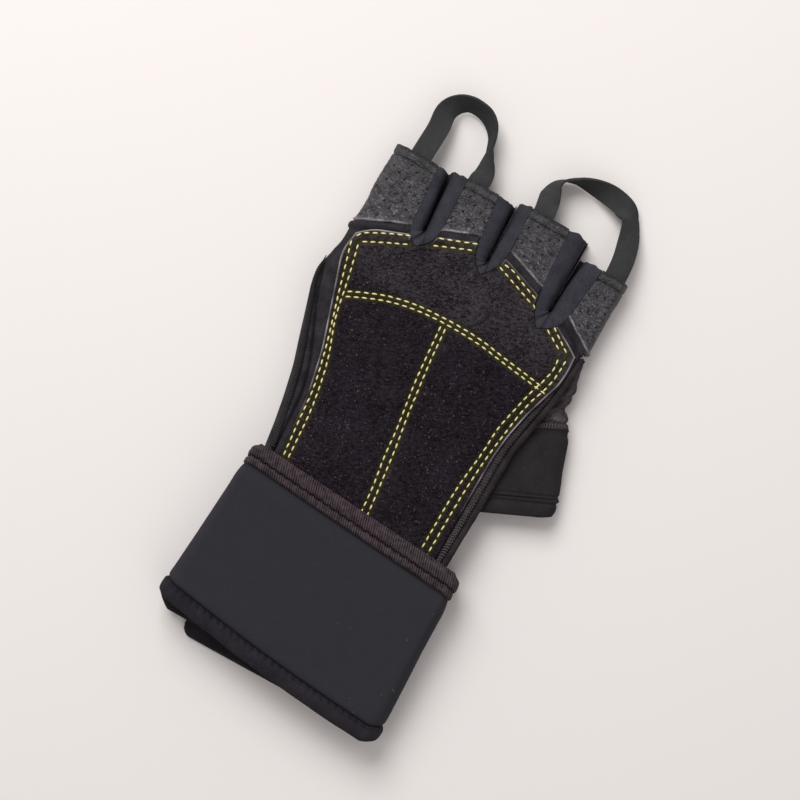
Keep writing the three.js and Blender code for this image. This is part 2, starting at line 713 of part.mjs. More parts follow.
// The strap's outer face on its way round the wrist: x and z of each place, the two stations that it lies
// between, how far it reaches out at a fold, and how much of it lies on top. It starts under the wrist on the
// thumb side, goes under, round the little-finger side, over the wrist, round the thumb side and under again.
const strapLeftX = handWidth * strapLeft.low + strapFold;
const strapRightX = handWidth * strapRight.low - strapFold;
function strapPlaces() {
  const places = [];
  const flat = (fromX, toX, z, from, to, count, onTop = 0) => {
    for (const t of spread(count))
      places.push({ x: lerp(fromX, toX, t), z, from, to, t, fold: 0, onTop });
  };
  const fold = (x, reach, fromZ, toZ, [from, crest, to]) => {
    for (const t of spread(8).slice(1, -1)) {
      const z = lerp(fromZ, toZ, (1 - Math.cos(Math.PI * t)) / 2);
      const near = t < 0.5 ? { from, to: crest, t: 2 * t } : { from: crest, to, t: 2 * t - 1 };
      const onTop = toZ > fromZ ? t : 1 - t;
      places.push({ x, z, ...near, reach, fold: Math.sin(Math.PI * t) ** 0.85, onTop });
    }
  };
  flat(strapRightX - 2 * strapWall, strapLeftX, strapInnerZ, "start", "leftUnder", 4);
  fold(strapLeftX, strapLeft, strapInnerZ, strapTopZ, ["leftUnder", "leftCrest", "leftOver"]);
  flat(strapLeftX, strapRightX, strapTopZ, "leftOver", "rightOver", 6, 1);
  fold(strapRightX, strapRight, strapTopZ, 0, ["rightOver", "rightCrest", "rightUnder"]);
  flat(strapRightX, strapEndX + strapCorner, 0, "rightUnder", "nearEnd", 4);
  places.push({ x: strapEndX, z: 0, from: "nearEnd", to: "end", t: 1, fold: 0, onTop: 0 });
  return places;
}
// A stretch of the strap between two shares of its width. proud thickens it outwards where it lies on top.
function strapSolid(fromShare, toShare, rows, proud) {
  const places = strapPlaces();
  const shares = spread(rows).map((t) => lerp(fromShare, toShare, t));
  const basic = places.map((place) =>
    shares.map((share) => {
      const a = strapStations[place.from];
      const b = strapStations[place.to];
      const across = lerp(lerp(a.top, b.top, place.t), lerp(a.low, b.low, place.t), share);
      const crest = place.fold ? handWidth * lerp(place.reach.top, place.reach.low, share) : place.x;
      return new THREE.Vector3(lerp(place.x, crest, place.fold), strapTop - strapWidth * across, place.z);
    }),
  );
  const normals = gridNormals(basic);
  const moved = (amount) =>
    basic.map((row, i) => row.map((p, j) => p.clone().addScaledVector(normals[i][j], amount(i, j))));
  const swell = (i, j) => {
    const fromMiddle = Math.abs(j / rows - 0.5);
    return proud * smooth(0, 1, places[i].onTop) * (1 - 0.35 * fromMiddle);
  };
  return solidFromGrids(moved(swell), moved(() => -strapWall));
}
const bindingShare = bindingWidth / strapWidth;
const hemShare = 1 - strapHemWidth / strapWidth;

function hookPatch() {
  const x = strapEndX + 2 * strapWall;
  const y = strapTop - 0.16 * strapWidth;
  const round = hookWidth / 12;
  const shape = new THREE.Shape();
  shape.moveTo(x + round, y - hookWidth);
  shape.lineTo(x + hookLength - round, y - hookWidth);
  shape.quadraticCurveTo(x + hookLength, y - hookWidth, x + hookLength, y - hookWidth + round);
  shape.lineTo(x + hookLength, y - round);
  shape.quadraticCurveTo(x + hookLength, y, x + hookLength - round, y);
  shape.lineTo(x + round, y);
  shape.quadraticCurveTo(x, y, x, y - round);
  shape.lineTo(x, y - hookWidth + round);
  shape.quadraticCurveTo(x, y - hookWidth, x + round, y - hookWidth);
  const options = { depth: hookHeight, bevelEnabled: false, curveSegments: 3 };
  return new THREE.ExtrudeGeometry(shape, options).translate(0, 0, strapWall + gap);
}

// Tape loop between two stalls: a flat tape swept along its middle line, turned on edge round the bow
function pullLoop(table, startStall, endStall) {
  const tapeZ = handHeight - leatherWall - gap - tapeWall / 2;
  const openings = [stallTop(startStall), stallTop(endStall)];
  const last = table.length - 1;
  const free = table.map((row, i) => {
    const y = lerp(...openings, i / last) + loopReach * row.out;
    return { middle: new THREE.Vector3(handWidth * row.x, y, tapeZ * row.height), lean: row.lean };
  });
  const tail = (end) => {
    const sewn = { middle: end.middle.clone(), lean: end.lean };
    sewn.middle.y -= tapeTail;
    return sewn;
  };
  const places = [tail(free[0]), ...free, tail(free[last])];
  const curve = new THREE.CatmullRomCurve3(places.map((place) => place.middle), false, "centripetal");
  const spans = places.length - 1;
  const rings = spread(2 * spans).map((t) => {
    const p = curve.getPoint(t);
    const along = curve.getTangent(t);
    const i = Math.min(Math.floor(t * spans), spans - 1);
    const lean = THREE.MathUtils.degToRad(lerp(places[i].lean, places[i + 1].lean, t * spans - i));
    const width = new THREE.Vector3(along.y, -along.x, 0).normalize().applyAxisAngle(along, lean);
    const normal = along.clone().cross(width).normalize();
    const corner = (w, n) =>
      p.clone().addScaledVector(width, (w * tapeWidth) / 2).addScaledVector(normal, (n * tapeWall) / 2);
    return [corner(-1, -1), corner(1, -1), corner(1, 1), corner(-1, 1)];
  });
  return barSolid(rings);
}

const finish = (color, roughness) => ({ color, roughness, metalness: 0 });
const cloth = finish(0x2e3034, 0.85);
const suede = finish(0x262126, 0.95);
const leather = finish(0x555356, 0.5);
const neoprene = finish(0x2c2d31, 0.8);
const ribbed = finish(0x3e363a, 0.85);
const tape = finish(0x2b2d2d, 0.6);

const glove = new THREE.Group();
function add(name, geometry, look) {
  const flat = geometry.index ? geometry.toNonIndexed() : geometry;
  flat.computeVertexNormals();
  const mesh = new THREE.Mesh(flat, new THREE.MeshStandardMaterial(look));
  mesh.name = name;
  glove.add(mesh);
}
add("back_shell", backShell(), cloth);
add("palm_shell", palmShell(), cloth);
add("palm_panel", palmPanel(), suede);
add("pinky_seam", pinkySeam(), cloth);
add("thumb_side_roll", thumbSideRoll(), cloth);
stalls.forEach((stall, i) => add("finger_front_" + stall.name, fingerFront(i), leather));
strips.forEach((strip, i) => add("fourchette_" + strip.name, fourchette(strip, stripEdges[i]), cloth));
add("thumb_gusset", thumbSleeve(gussetSections), cloth);
add("thumb_band", thumbSleeve(thumbBandSections), cloth);
add("thumb_hem", thumbSleeve(thumbHemSections), cloth);
add("cuff", cuff(), cloth);
add("wrist_wrap", strapSolid(bindingShare, hemShare, 6, 0), neoprene);
add("wrap_binding", strapSolid(0, bindingShare - (2 * gap) / strapWidth, 2, bindingProud), ribbed);
add("wrap_hem", strapSolid(hemShare + gap / strapWidth, 1, 2, strapHemProud), neoprene);
add("wrap_hook_patch", hookPatch(), ribbed);
add("pull_loop_outer", pullLoop(outerLoop, stalls[0], stalls[1]), tape);
add("pull_loop_inner", pullLoop(innerLoop, stalls[2], stalls[3]), tape);

export default glove;
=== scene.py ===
import math
import bpy
import numpy as np
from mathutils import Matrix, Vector


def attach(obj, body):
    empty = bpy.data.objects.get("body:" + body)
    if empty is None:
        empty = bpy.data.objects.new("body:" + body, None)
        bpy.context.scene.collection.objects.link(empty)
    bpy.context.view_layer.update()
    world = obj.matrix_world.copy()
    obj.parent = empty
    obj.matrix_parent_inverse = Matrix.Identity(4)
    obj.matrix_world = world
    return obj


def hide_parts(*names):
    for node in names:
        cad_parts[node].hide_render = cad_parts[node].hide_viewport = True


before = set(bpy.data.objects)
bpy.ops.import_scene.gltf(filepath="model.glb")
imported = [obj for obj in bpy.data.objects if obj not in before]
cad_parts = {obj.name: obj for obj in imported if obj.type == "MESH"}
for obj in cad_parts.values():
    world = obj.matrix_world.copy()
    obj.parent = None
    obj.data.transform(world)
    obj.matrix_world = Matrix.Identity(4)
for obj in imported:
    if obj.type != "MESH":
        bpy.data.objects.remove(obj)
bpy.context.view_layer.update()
bpy.ops.object.select_all(action="DESELECT")

# The glove lies palm up: +X is the thumb side, +Y the fingers, +Z out of the palm. Lengths are in metres.
hand = {
    "width": 0.1,
    "palm": 0.1,
    "stall": 0.03,
    "height": 0.0118,
    "crown": 0.0008,
    "littleRound": 0.006,
    "thumbRound": 0.003,
    "end": -0.056,
    "knuckles": 0.05,
    "lift": 0.0057,  # the strap's turns under the wrist raise it
    "wristTop": 0.0148,
    "gap": 0.0003,
    "floor": -0.0001,  # nothing sinks deeper
    "sideTurn": 0.94,  # the share of a rounded side's turn at which the flat top takes over
}
# Outlines: shares of the palm's length and of the hand's width
littleSide = [(-0.56, -0.415), (-0.45, -0.425), (-0.35, -0.44), (-0.25, -0.46), (-0.12, -0.49)]
littleSide += [(0.05, -0.545), (0.19, -0.59), (0.26, -0.592), (0.31, -0.58), (0.38, -0.563), (0.9, -0.563)]
backThumbSide = [(-0.56, 0.4), (-0.36, 0.4), (-0.29, 0.352), (0.07, 0.296), (0.17, 0.325), (0.455, 0.462)]
backThumbSide += [(0.5, 0.472), (0.9, 0.472)]
rollSide = [(-0.56, 0.402), (-0.25, 0.41), (0, 0.412), (0.1, 0.43), (0.22, 0.452), (0.3, 0.462)]
rollSide += [(0.4, 0.468), (0.46, 0.475)]
seamClimb = [(-0.56, 0.86), (0, 0.84), (0.16, 0.8), (0.28, 0.7), (0.36, 0.45), (0.44, 0.22), (0.9, 0.22)]
thumbSideClimb = [(-0.56, 0.86), (0.02, 0.86), (0.09, 0), (0.47, 0), (0.52, 0.22), (0.9, 0.22)]
panelLeft = [(-0.56, -0.345), (-0.35, -0.365), (-0.2, -0.38), (-0.02, -0.42), (0.1, -0.46), (0.22, -0.5)]
panelLeft += [(0.33, -0.538), (0.38, -0.54), (0.42, -0.53)]
panelRight = [(-0.56, 0.35), (-0.05, 0.35), (0.05, 0.36), (0.15, 0.38), (0.25, 0.41), (0.31, 0.43)]
panelRight += [(0.38, 0.435), (0.42, 0.43)]
# Shares of the hand's width and of the palm's length
panelTop = [(-0.56, 0.4), (-0.52, 0.44), (-0.48, 0.475), (-0.35, 0.527), (-0.25, 0.57), (-0.11, 0.63)]
panelTop += [(0.01, 0.63), (0.19, 0.57), (0.3, 0.51), (0.4, 0.455), (0.45, 0.42)]
leatherHem = [(-0.57, 0.465), (-0.36, 0.56), (-0.25, 0.597), (-0.11, 0.655), (0.015, 0.66), (0.19, 0.6)]
leatherHem += [(0.33, 0.555), (0.48, 0.46)]
stalls = [
    {"name": "pinky", "left": -0.563, "right": -0.333, "reach": 1.01},
    {"name": "ring", "left": -0.327, "right": -0.053, "reach": 1.067},
    {"name": "middle", "left": -0.047, "right": 0.262, "reach": 1.14},
    {"name": "index", "left": 0.272, "right": 0.472, "reach": 0.9},
]
strips = [
    {"name": "pinky_ring", "slotTop": -0.333, "slotEnd": -0.308, "leftTop": -0.38, "leftEnd": -0.36,
     "rightTop": -0.262, "rightEnd": -0.252, "endX": -0.308, "crotch": 0.57, "endY": 0.5},
    {"name": "ring_middle", "slotTop": -0.05, "slotEnd": -0.04, "leftTop": -0.124, "leftEnd": -0.109,
     "rightTop": 0.006, "rightEnd": 0.013, "endX": -0.042, "crotch": 0.585, "endY": 0.53},
    {"name": "middle_index", "slotTop": 0.267, "slotEnd": 0.262, "leftTop": 0.172, "leftEnd": 0.19,
     "rightTop": 0.354, "rightEnd": 0.33, "endX": 0.247, "crotch": 0.54, "endY": 0.46},
]


def lerp(a, b, t):
    return a + (b - a) * t


def smooth(low, high, value):
    t = np.clip((value - low) / (high - low), 0, 1)
    return t * t * (3 - 2 * t)


def bump(value, middle, width):  # a soft hill, 1 at the middle
    return np.exp(-(((value - middle) / width) ** 2))


def share(table, y):
    return np.interp(np.asarray(y) / hand["palm"], [row[0] for row in table], [row[1] for row in table])


# Outlines are read with their corners rounded, as the mean over a short stretch
def across(table, y):
    spread = np.linspace(-0.0024, 0.0024, 9)
    return hand["width"] * share(table, np.asarray(y)[..., None] + spread).mean(-1)


def along(table, x):
    wide = (np.asarray(x)[..., None] + np.linspace(-0.0024, 0.0024, 9)) / hand["width"]
    places = np.interp(wide, [row[0] for row in table], [row[1] for row in table])
    return hand["palm"] * places.mean(-1)


def stallTop(stall):
    return hand["knuckles"] + hand["stall"] * stall["reach"]


def floorZ(y):
    return hand["lift"] * smooth(-0.26 * hand["palm"], -0.47 * hand["palm"], y)


def edgeZ(y):
    rise = hand["wristTop"] - hand["height"]
    return hand["height"] + rise * smooth(-0.16 * hand["palm"], -0.47 * hand["palm"], y)


def topZ(x, y):
    side = across(littleSide, y)
    t = np.clip((side + hand["littleRound"] - x) / hand["littleRound"], 0, 1)
    half = (edgeZ(y) - floorZ(y)) / 2
    middle = np.clip(1 - (x / (0.4 * hand["width"])) ** 2, 0, 1)
    fromWrist = smooth(hand["end"] + 0.12 * hand["palm"], -0.2 * hand["palm"], y)
    toFingers = smooth(0.52 * hand["palm"], 0.3 * hand["palm"], y)
    return floorZ(y) + half + half * np.sqrt(1 - t * t) + hand["crown"] * middle * fromWrist * toFingers


# A point on a side that is rounded from the floor, climb 0, to the top, climb 1
def sidePoint(y, climb, edgeX, radius, top):
    inward = radius * (1 - np.sin(np.pi * climb))
    z = floorZ(y) + (top - floorZ(y)) * (1 - np.cos(np.pi * climb)) / 2
    return edgeX - np.sign(edgeX) * inward, z


def seamShare(radius):
    return hand["gap"] / (4 * radius)


# Soft unevenness of about unit height, the same on each run: plane waves in chance directions
def ripple(points, size, seed, stretch=(1, 1, 1), waves=18):
    chance = np.random.default_rng(seed)
    directions = chance.normal(size=(waves, 3))
    directions /= np.linalg.norm(directions, axis=1)[:, None]
    lengths = size * chance.uniform(0.7, 1.6, waves)
    phases = chance.uniform(0, 2 * np.pi, waves)
    places = np.asarray(points) * np.array(stretch)
    turned = places @ (directions * (2 * np.pi / lengths)[:, None]).T + phases
    return np.sin(turned).sum(-1) / math.sqrt(waves / 2) / 1.6


def unit(vectors):
    length = np.linalg.norm(vectors, axis=-1, keepdims=True)
    return vectors / np.where(length < 1e-12, 1, length)


# Normals of a grid of points. around joins its last column to the first.
def gridNormals(grid, around=False):
    wide = np.concatenate([grid[:, -2:], grid, grid[:, :2]], axis=1) if around else grid
    overCols = np.gradient(wide, axis=1)
    if around:
        overCols = overCols[:, 2:-2]
    overRows = np.gradient(grid, axis=0)
    return unit(np.cross(overCols, overRows))


# Normals of a grid, turned to the side that toward points at on the whole
def facingNormals(grid, toward=(0, 0, 1), around=False):
    normals = gridNormals(grid, around)
    return normals * np.where((normals * toward).sum() < 0, -1, 1)


# The quads between the points of a grid. The column after the last is the first.
def gridQuads(rows, cols, quadCols):
    i, j = np.meshgrid(np.arange(rows - 1), np.arange(quadCols), indexing="ij")
    k = (j + 1) % cols
    corners = [i * cols + j, i * cols + k, (i + 1) * cols + k, (i + 1) * cols + j]
    return np.stack(corners, axis=-1).reshape(-1, 4)


# Metres of cloth across and along a grid, for its UV map
def clothLengths(grid):
    steps = np.linalg.norm(np.diff(grid, axis=1), axis=2)
    wide = np.concatenate([np.zeros((len(grid), 1)), np.cumsum(steps, axis=1)], axis=1)
    steps = np.linalg.norm(np.diff(grid, axis=0), axis=2)
    long = np.concatenate([np.zeros((1, grid.shape[1])), np.cumsum(steps, axis=0)], axis=0)
    return wide - wide.mean(1, keepdims=True), long


def placePiece(name, mesh):
    piece = bpy.data.objects.new(name, mesh)
    bpy.context.collection.objects.link(piece)
    return piece


def drawUv(mesh, uv):
    layer = mesh.uv_layers.new(name="cloth")
    used = np.zeros(len(mesh.loops), np.int32)
    mesh.loops.foreach_get("vertex_index", used)
    layer.data.foreach_set("uv", uv[used].astype(np.float32).ravel())


def choose(piece):
    bpy.ops.object.select_all(action="DESELECT")
    bpy.context.view_layer.objects.active = piece
    piece.select_set(True)


# Welds what coincides and turns the faces outwards
def cleanMesh(piece, weld=0.000002):
    choose(piece)
    bpy.ops.object.mode_set(mode="EDIT")
    bpy.ops.mesh.select_all(action="SELECT")
    bpy.ops.mesh.remove_doubles(threshold=weld)
    bpy.ops.mesh.normals_make_consistent(inside=False)
    bpy.ops.object.mode_set(mode="OBJECT")
    piece.select_set(False)


# Makes a closed wall from the points of its outer and its inner face. The rims between them are rounded by
# so much of the wall's thickness. marks become point attributes, which the looks read.
def makeWall(name, outer, inner, rimBulge=0.3, around=False, marks=None):
    rows, cols = outer.shape[:2]
    outer = np.maximum(outer, [-1, -1, hand["floor"]])
    layers = [outer.reshape(-1, 3), inner.reshape(-1, 3)]
    size = rows * cols
    corners = gridQuads(rows, cols, cols if around else cols - 1)
    faces = [corners, corners[:, ::-1] + size]
    rims = [("row", 0), ("row", rows - 1)] + ([] if around else [("col", 0), ("col", cols - 1)])
    extra = []
    for kind, at in rims:
        loop = at * cols + np.arange(cols) if kind == "row" else np.arange(rows) * cols + at
        inside = loop + (cols if at == 0 else -cols) if kind == "row" else loop + (1 if at == 0 else -1)
        a, b = layers[0][loop], layers[1][loop]
        out = unit((a + b) / 2 - (layers[0][inside] + layers[1][inside]) / 2)
        thick = np.linalg.norm(a - b, axis=1, keepdims=True)
        middle = (a + b) / 2 + out * thick * rimBulge
        extra.append((loop, middle))
    count = 2 * size
    rimFaces = []
    for (kind, at), (loop, middle) in zip(rims, extra):
        new = count + np.arange(len(loop))
        count += len(loop)
        n = len(loop) if around and kind == "row" else len(loop) - 1
        first = np.arange(n)
        second = (first + 1) % len(loop)
        flip = (kind == "row") == (at == 0)
        for upper, lower in ((loop, new), (new, loop + size)):
            quad = np.stack([upper[first], lower[first], lower[second], upper[second]], axis=-1)
            rimFaces.append(quad if flip else quad[:, ::-1])
    points = np.concatenate(layers + [middle for _, middle in extra])
    mesh = bpy.data.meshes.new(name)
    everything = np.concatenate(faces + rimFaces)
    mesh.from_pydata(points.tolist(), [], everything.tolist())
    wide, long = clothLengths(outer)
    uv = np.concatenate([np.stack([wide, long], axis=-1).reshape(-1, 2)] * 2)
    drawUv(mesh, np.concatenate([uv] + [uv[loop] for loop, _ in extra]))
    for key, drawn in (marks or {}).items():
        flat = np.concatenate([drawn.ravel(), np.zeros(size)])
        values = np.concatenate([flat] + [flat[loop] for loop, _ in extra])
        mesh.attributes.new(key, "FLOAT", "POINT").data.foreach_set("value", values.astype(np.float32))
    piece = placePiece(name, mesh)
    cleanMesh(piece)
    return piece


def finishPiece(piece, look, nodes=(), angle=50):
    choose(piece)
    bpy.ops.object.shade_smooth_by_angle(angle=math.radians(angle))
    piece.select_set(False)
    piece.data.materials.clear()
    piece.data.materials.append(look)
    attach(piece, "root")
    if nodes:
        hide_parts(*nodes)
    return piece


# Wraps a socket, so that shader maths reads as sums
class Wire:
    def __init__(self, tree, socket=None):
        self.tree = tree
        self.socket = socket

    def make(self, kind, settings=None, inputs=None, out=0):
        node = self.tree.nodes.new("ShaderNode" + kind)
        for key, value in (settings or {}).items():
            setattr(node, key, value)
        for key, value in (inputs or {}).items():
            if isinstance(value, Wire):
                self.tree.links.new(value.socket, node.inputs[key])
            else:
                node.inputs[key].default_value = value
        return Wire(self.tree, node.outputs[out]) if len(node.outputs) else None

    def math(self, operation, first, second=0.0):
        return self.make("Math", {"operation": operation}, {0: first, 1: second})

    def __add__(self, other):
        return self.math("ADD", self, other)

    def __sub__(self, other):
        return self.math("SUBTRACT", self, other)

    def __mul__(self, other):
        return self.math("MULTIPLY", self, other)

    def __truediv__(self, other):
        return self.math("DIVIDE", self, other)

    def __rsub__(self, other):
        return self.math("SUBTRACT", other, self)

    __radd__ = __add__
    __rmul__ = __mul__

    def least(self, other):
        return self.math("MINIMUM", self, other)

    def most(self, other):
        return self.math("MAXIMUM", self, other)

    def sine(self):
        return self.math("SINE", self)

    def rest(self):
        return self.math("FRACT", self)

    def root(self):
        return self.math("SQRT", self)

    def step(self, low, high):  # 0 below low, 1 above high, smooth between
        settings = {"interpolation_type": "SMOOTHSTEP"}
        return self.make("MapRange", settings, {"Value": self, "From Min": low, "From Max": high})

    def noise(self, size, detail=2.0, roughness=0.5):
        inputs = {"Vector": self, "Scale": 1 / size, "Detail": detail, "Roughness": roughness}
        return self.make("TexNoise", {}, inputs)

    def stretched(self, scale, turn=0.0):  # turned about Z, then scaled along its own axes
        turned = self
        if turn:
            turned = self.make("Mapping", {}, {"Vector": self, "Rotation": (0, 0, math.radians(turn))})
        return self.make("Mapping", {}, {"Vector": turned, "Scale": scale})

    def blend(self, first, second):  # this wire is the factor between two colours
        inputs = {"Factor": self}
        for key, value in (("A", first), ("B", second)):
            inputs[{"A": 6, "B": 7}[key]] = value if isinstance(value, Wire) else (*value, 1)
        return self.make("Mix", {"data_type": "RGBA"}, inputs, 2)

    def parts(self):
        node = self.make("SeparateXYZ", {}, {"Vector": self}).socket.node
        return [Wire(self.tree, node.outputs[i]) for i in range(3)]


def makeLook(name, build):
    material = bpy.data.materials.new(name)
    material.use_nodes = True
    tree = material.node_tree
    tree.nodes.clear()
    start = Wire(tree)
    coords = start.make("TexCoord", {}, {}, "Object")
    cloth = start.make("UVMap", {"uv_map": "cloth"}, {})
    shader = start.make("BsdfPrincipled", {}, build(start, coords, cloth))
    start.make("OutputMaterial", {}, {"Surface": shader})
    return material


def relief(start, height, depth, strength=1.0):
    return start.make("Bump", {}, {"Height": height, "Distance": depth, "Strength": strength})


def mark(start, name):
    return start.make("Attribute", {"attribute_name": name}, {}, "Fac")


suedeTones = {
    "dark": (0.0058, 0.004, 0.006),
    "light": (0.029, 0.0225, 0.03),
    "upper": (0.058, 0.05, 0.058),
    "fleck": (0.12, 0.105, 0.12),
    "cutEdge": (0.42, 0.38, 0.42),
    "threadShade": (0.045, 0.04, 0.004),
    "turn": -30,  # the nap is brushed along the photo's rows
    "hairs": (520, 1700, 900),
}


def suedeLook(start, coords, cloth):
    tones = suedeTones
    nap = coords.noise(0.012, 3, 0.6)
    grain = coords.stretched((1, 1.7, 1), tones["turn"]).noise(0.0016, 4, 0.7)
    fine = coords.noise(0.00045, 2, 0.6)
    tone = (grain * 0.6 + fine * 0.45 + nap * 0.2 - 0.13).step(0.36, 0.64)
    light = (mark(start, "upper") * (0.4 + nap)).blend(tones["light"], tones["upper"])
    base = tone.blend(tones["dark"], light)
    hairs = coords.stretched(tones["hairs"], tones["turn"]).noise(1, 2, 0.5).step(0.66, 0.8)
    flecks = coords.noise(0.0008, 1, 0.4).step(0.66, 0.78)
    base = (hairs * 0.6).most(flecks * 0.75).blend(base, tones["fleck"])
    base = (mark(start, "seam") * 0.85).blend(base, tones["threadShade"])
    base = mark(start, "cut").blend(base, tones["cutEdge"])
    return {
        "Base Color": base,
        "Roughness": 1.0,
        "Specular IOR Level": 0.05,
        "Normal": relief(start, grain + fine * 0.8 + hairs * 0.4, 0.00045, 1.0),
    }


leatherTones = {
    "dark": (0.012, 0.0115, 0.013),
    "light": (0.062, 0.058, 0.069),
    # pale crests of the grain: painted highlight, partly wear
    "wearAndHighlight": (0.32, 0.305, 0.335),
    # hole and fold are painted shade: inside the holes, in the crease of the turned edge and along the
    # opening's rim
    "hole": (0.002, 0.002, 0.002),
    "fold": (0.008, 0.0075, 0.008),
    "hem": (0.36, 0.33, 0.36),
    "creases": (420, 800, 500),
    "folds": (230, 520, 300),
    "foldTurn": 25,
    "foldLines": 34.0,
    "holePitch": 0.0063,
    "holeSize": 0.00046,
}


def leatherLook(start, coords, cloth):
    tones = leatherTones
    cells = start.make("TexVoronoi", {"feature": "DISTANCE_TO_EDGE"}, {"Vector": coords, "Scale": 900.0})
    pebbles = cells.step(0.02, 0.3)
    broad = coords.noise(0.004, 3, 0.6)
    creases = coords.stretched(tones["creases"]).noise(1, 4, 0.65)
    # The tone follows the creases that the bump raises too: painted shade in their valleys and painted light
    # on their crests, over a broad patchy tone
    base = (broad * 0.6 + creases * 0.6 - 0.1).step(0.3, 0.7).blend(tones["dark"], tones["light"])
    folds = coords.stretched(tones["folds"], tones["foldTurn"]).noise(1, 2, 0.45)
    folds = (folds * tones["foldLines"]).sine()
    # Painted highlights, partly wear: pale crests where creases and folds rise, fewer towards the stall's top
    # through the low mark
    crest = (folds * 0.5 + creases).step(0.86, 1.12) * (0.35 + pebbles * 0.65) * mark(start, "low")
    base = (crest * 0.55).blend(base, tones["wearAndHighlight"])
    wide, long, _ = cloth.parts()
    pitch = tones["holePitch"]
    far = None
    for shift in (0.0, 0.5):
        dx = ((wide / pitch + shift).rest() - 0.5) * pitch
        dy = ((long / pitch + shift).rest() - 0.5) * pitch
        away = (dx * dx + dy * dy).root()
        far = away if far is None else far.least(away)
    # The holes are not cut: dark dots paint the shade inside each hole, over the dark lining below
    hole = (1 - far.step(tones["holeSize"] * 0.8, tones["holeSize"] * 1.25)) * (1 - mark(start, "bare"))
    base = hole.blend(base, tones["hole"])
    # The fold mark paints shade in the crease of the turned edge and along the opening's rim
    base = mark(start, "fold").blend(base, tones["fold"])
    base = (mark(start, "hem") * 0.8).blend(base, tones["hem"])
    return {
        "Base Color": base,
        "Roughness": 0.55 - crest * 0.2,
        "Specular IOR Level": 0.45,
        "Normal": relief(start, pebbles * 0.6 + creases * 0.9 + folds * 0.35 - hole * 2.5, 0.00022, 1.0),
    }


# Knitted and other plain cloths: dark and light tone, size and depth of the weave, how patchy the tone is
clothTones = {
    "cloth": ((0.014, 0.0125, 0.0155), (0.045, 0.041, 0.049), 0.0008, 0.0002, 0.6),
    "stretch": ((0.023, 0.0225, 0.0305), (0.058, 0.056, 0.071), 0.0005, 0.0001, 0.4),
    "band": ((0.015, 0.0125, 0.015), (0.033, 0.029, 0.032), 0.0005, 0.0001, 0.3),
    "gusset": ((0.022, 0.017, 0.02), (0.115, 0.093, 0.105), 0.0009, 0.0003, 0.7),
    "roll": ((0.013, 0.01, 0.012), (0.042, 0.034, 0.038), 0.0006, 0.00016, 0.6),
    "neoprene": ((0.0245, 0.024, 0.031), (0.034, 0.033, 0.0415), 0.0005, 0.00006, 0.12),
    "hem": ((0.012, 0.01, 0.0145), (0.032, 0.028, 0.036), 0.0005, 0.0001, 0.35),
}


def clothLook(dark, light, weave, depth, patches):
    def build(start, coords, cloth):
        wide, long, _ = cloth.parts()
        knit = (wide * (2 * math.pi / weave)).sine() * (long * (2 * math.pi / (weave * 1.4))).sine()
        patch = coords.noise(0.006, 4, 0.6)
        fuzz = coords.noise(0.0005, 2, 0.6)
        tone = ((patch - 0.5) * (2.4 * patches) + (fuzz - 0.5) * 0.9 + knit * 0.1 + 0.5).step(0, 1)
        lint = coords.noise(0.0019, 1, 0.3).step(0.79, 0.82)
        base = (lint * 0.4).blend(tone.blend(dark, light), (0.12, 0.12, 0.125))
        # The thread mark darkens with dark thread on the hem, and with painted shade in the palm cloth's fold
        # groove and along the strap's edges
        base = (mark(start, "thread") * 0.9).blend(base, (0.006, 0.0055, 0.0065))
        return {
            "Base Color": base,
            "Roughness": 0.9,
            "Specular IOR Level": 0.12,
            "Normal": relief(start, knit * 0.5 + fuzz * 0.6, depth, 0.8),
        }

    return build


# Ribbed cloths: dark and light tone, pitch of the ribs along and across, and their depth
ribTones = {
    "overlock": ((0.005, 0.0045, 0.0055), (0.12, 0.1, 0.112), 0.0012, 0.0005, 0.0002),
    "seam": ((0.009, 0.008, 0.0095), (0.04, 0.036, 0.041), 0.0011, 0.0007, 0.0002),
    "tape": ((0.022, 0.0225, 0.024), (0.066, 0.068, 0.069), 0.0006, 0.0009, 0.0001),
    "hook": ((0.008, 0.008, 0.008), (0.02, 0.02, 0.021), 0.0014, 0.0012, 0.0003),
}


def ribLook(dark, light, pitch, cross, depth):
    def build(start, coords, cloth):
        wide, long, _ = cloth.parts()
        ribs = (wide * (2 * math.pi / pitch)).sine() * 0.5 + 0.5
        weft = (long * (2 * math.pi / cross)).sine() * 0.5 + 0.5
        patch = coords.noise(0.003, 3, 0.6)
        fuzz = coords.noise(0.0004, 2, 0.6)
        # The tone follows the ribs and the weft: painted light on their crests and painted shade between
        # them, over a patchy tone
        tone = (ribs * 0.6 + patch * 0.45 + fuzz * 0.3 + weft * 0.1 - 0.2).step(0.15, 0.95)
        return {
            "Base Color": tone.blend(dark, light),
            "Roughness": 0.85,
            "Specular IOR Level": 0.12,
            "Normal": relief(start, ribs + weft * 0.4 + fuzz * 0.5, depth, 0.9),
        }

    return build


bindingTones = {"dark": (0.012, 0.008, 0.0105), "light": (0.1, 0.074, 0.084), "thread": (0.007, 0.006, 0.007),
                "rib": 0.00095, "slant": 0.3}


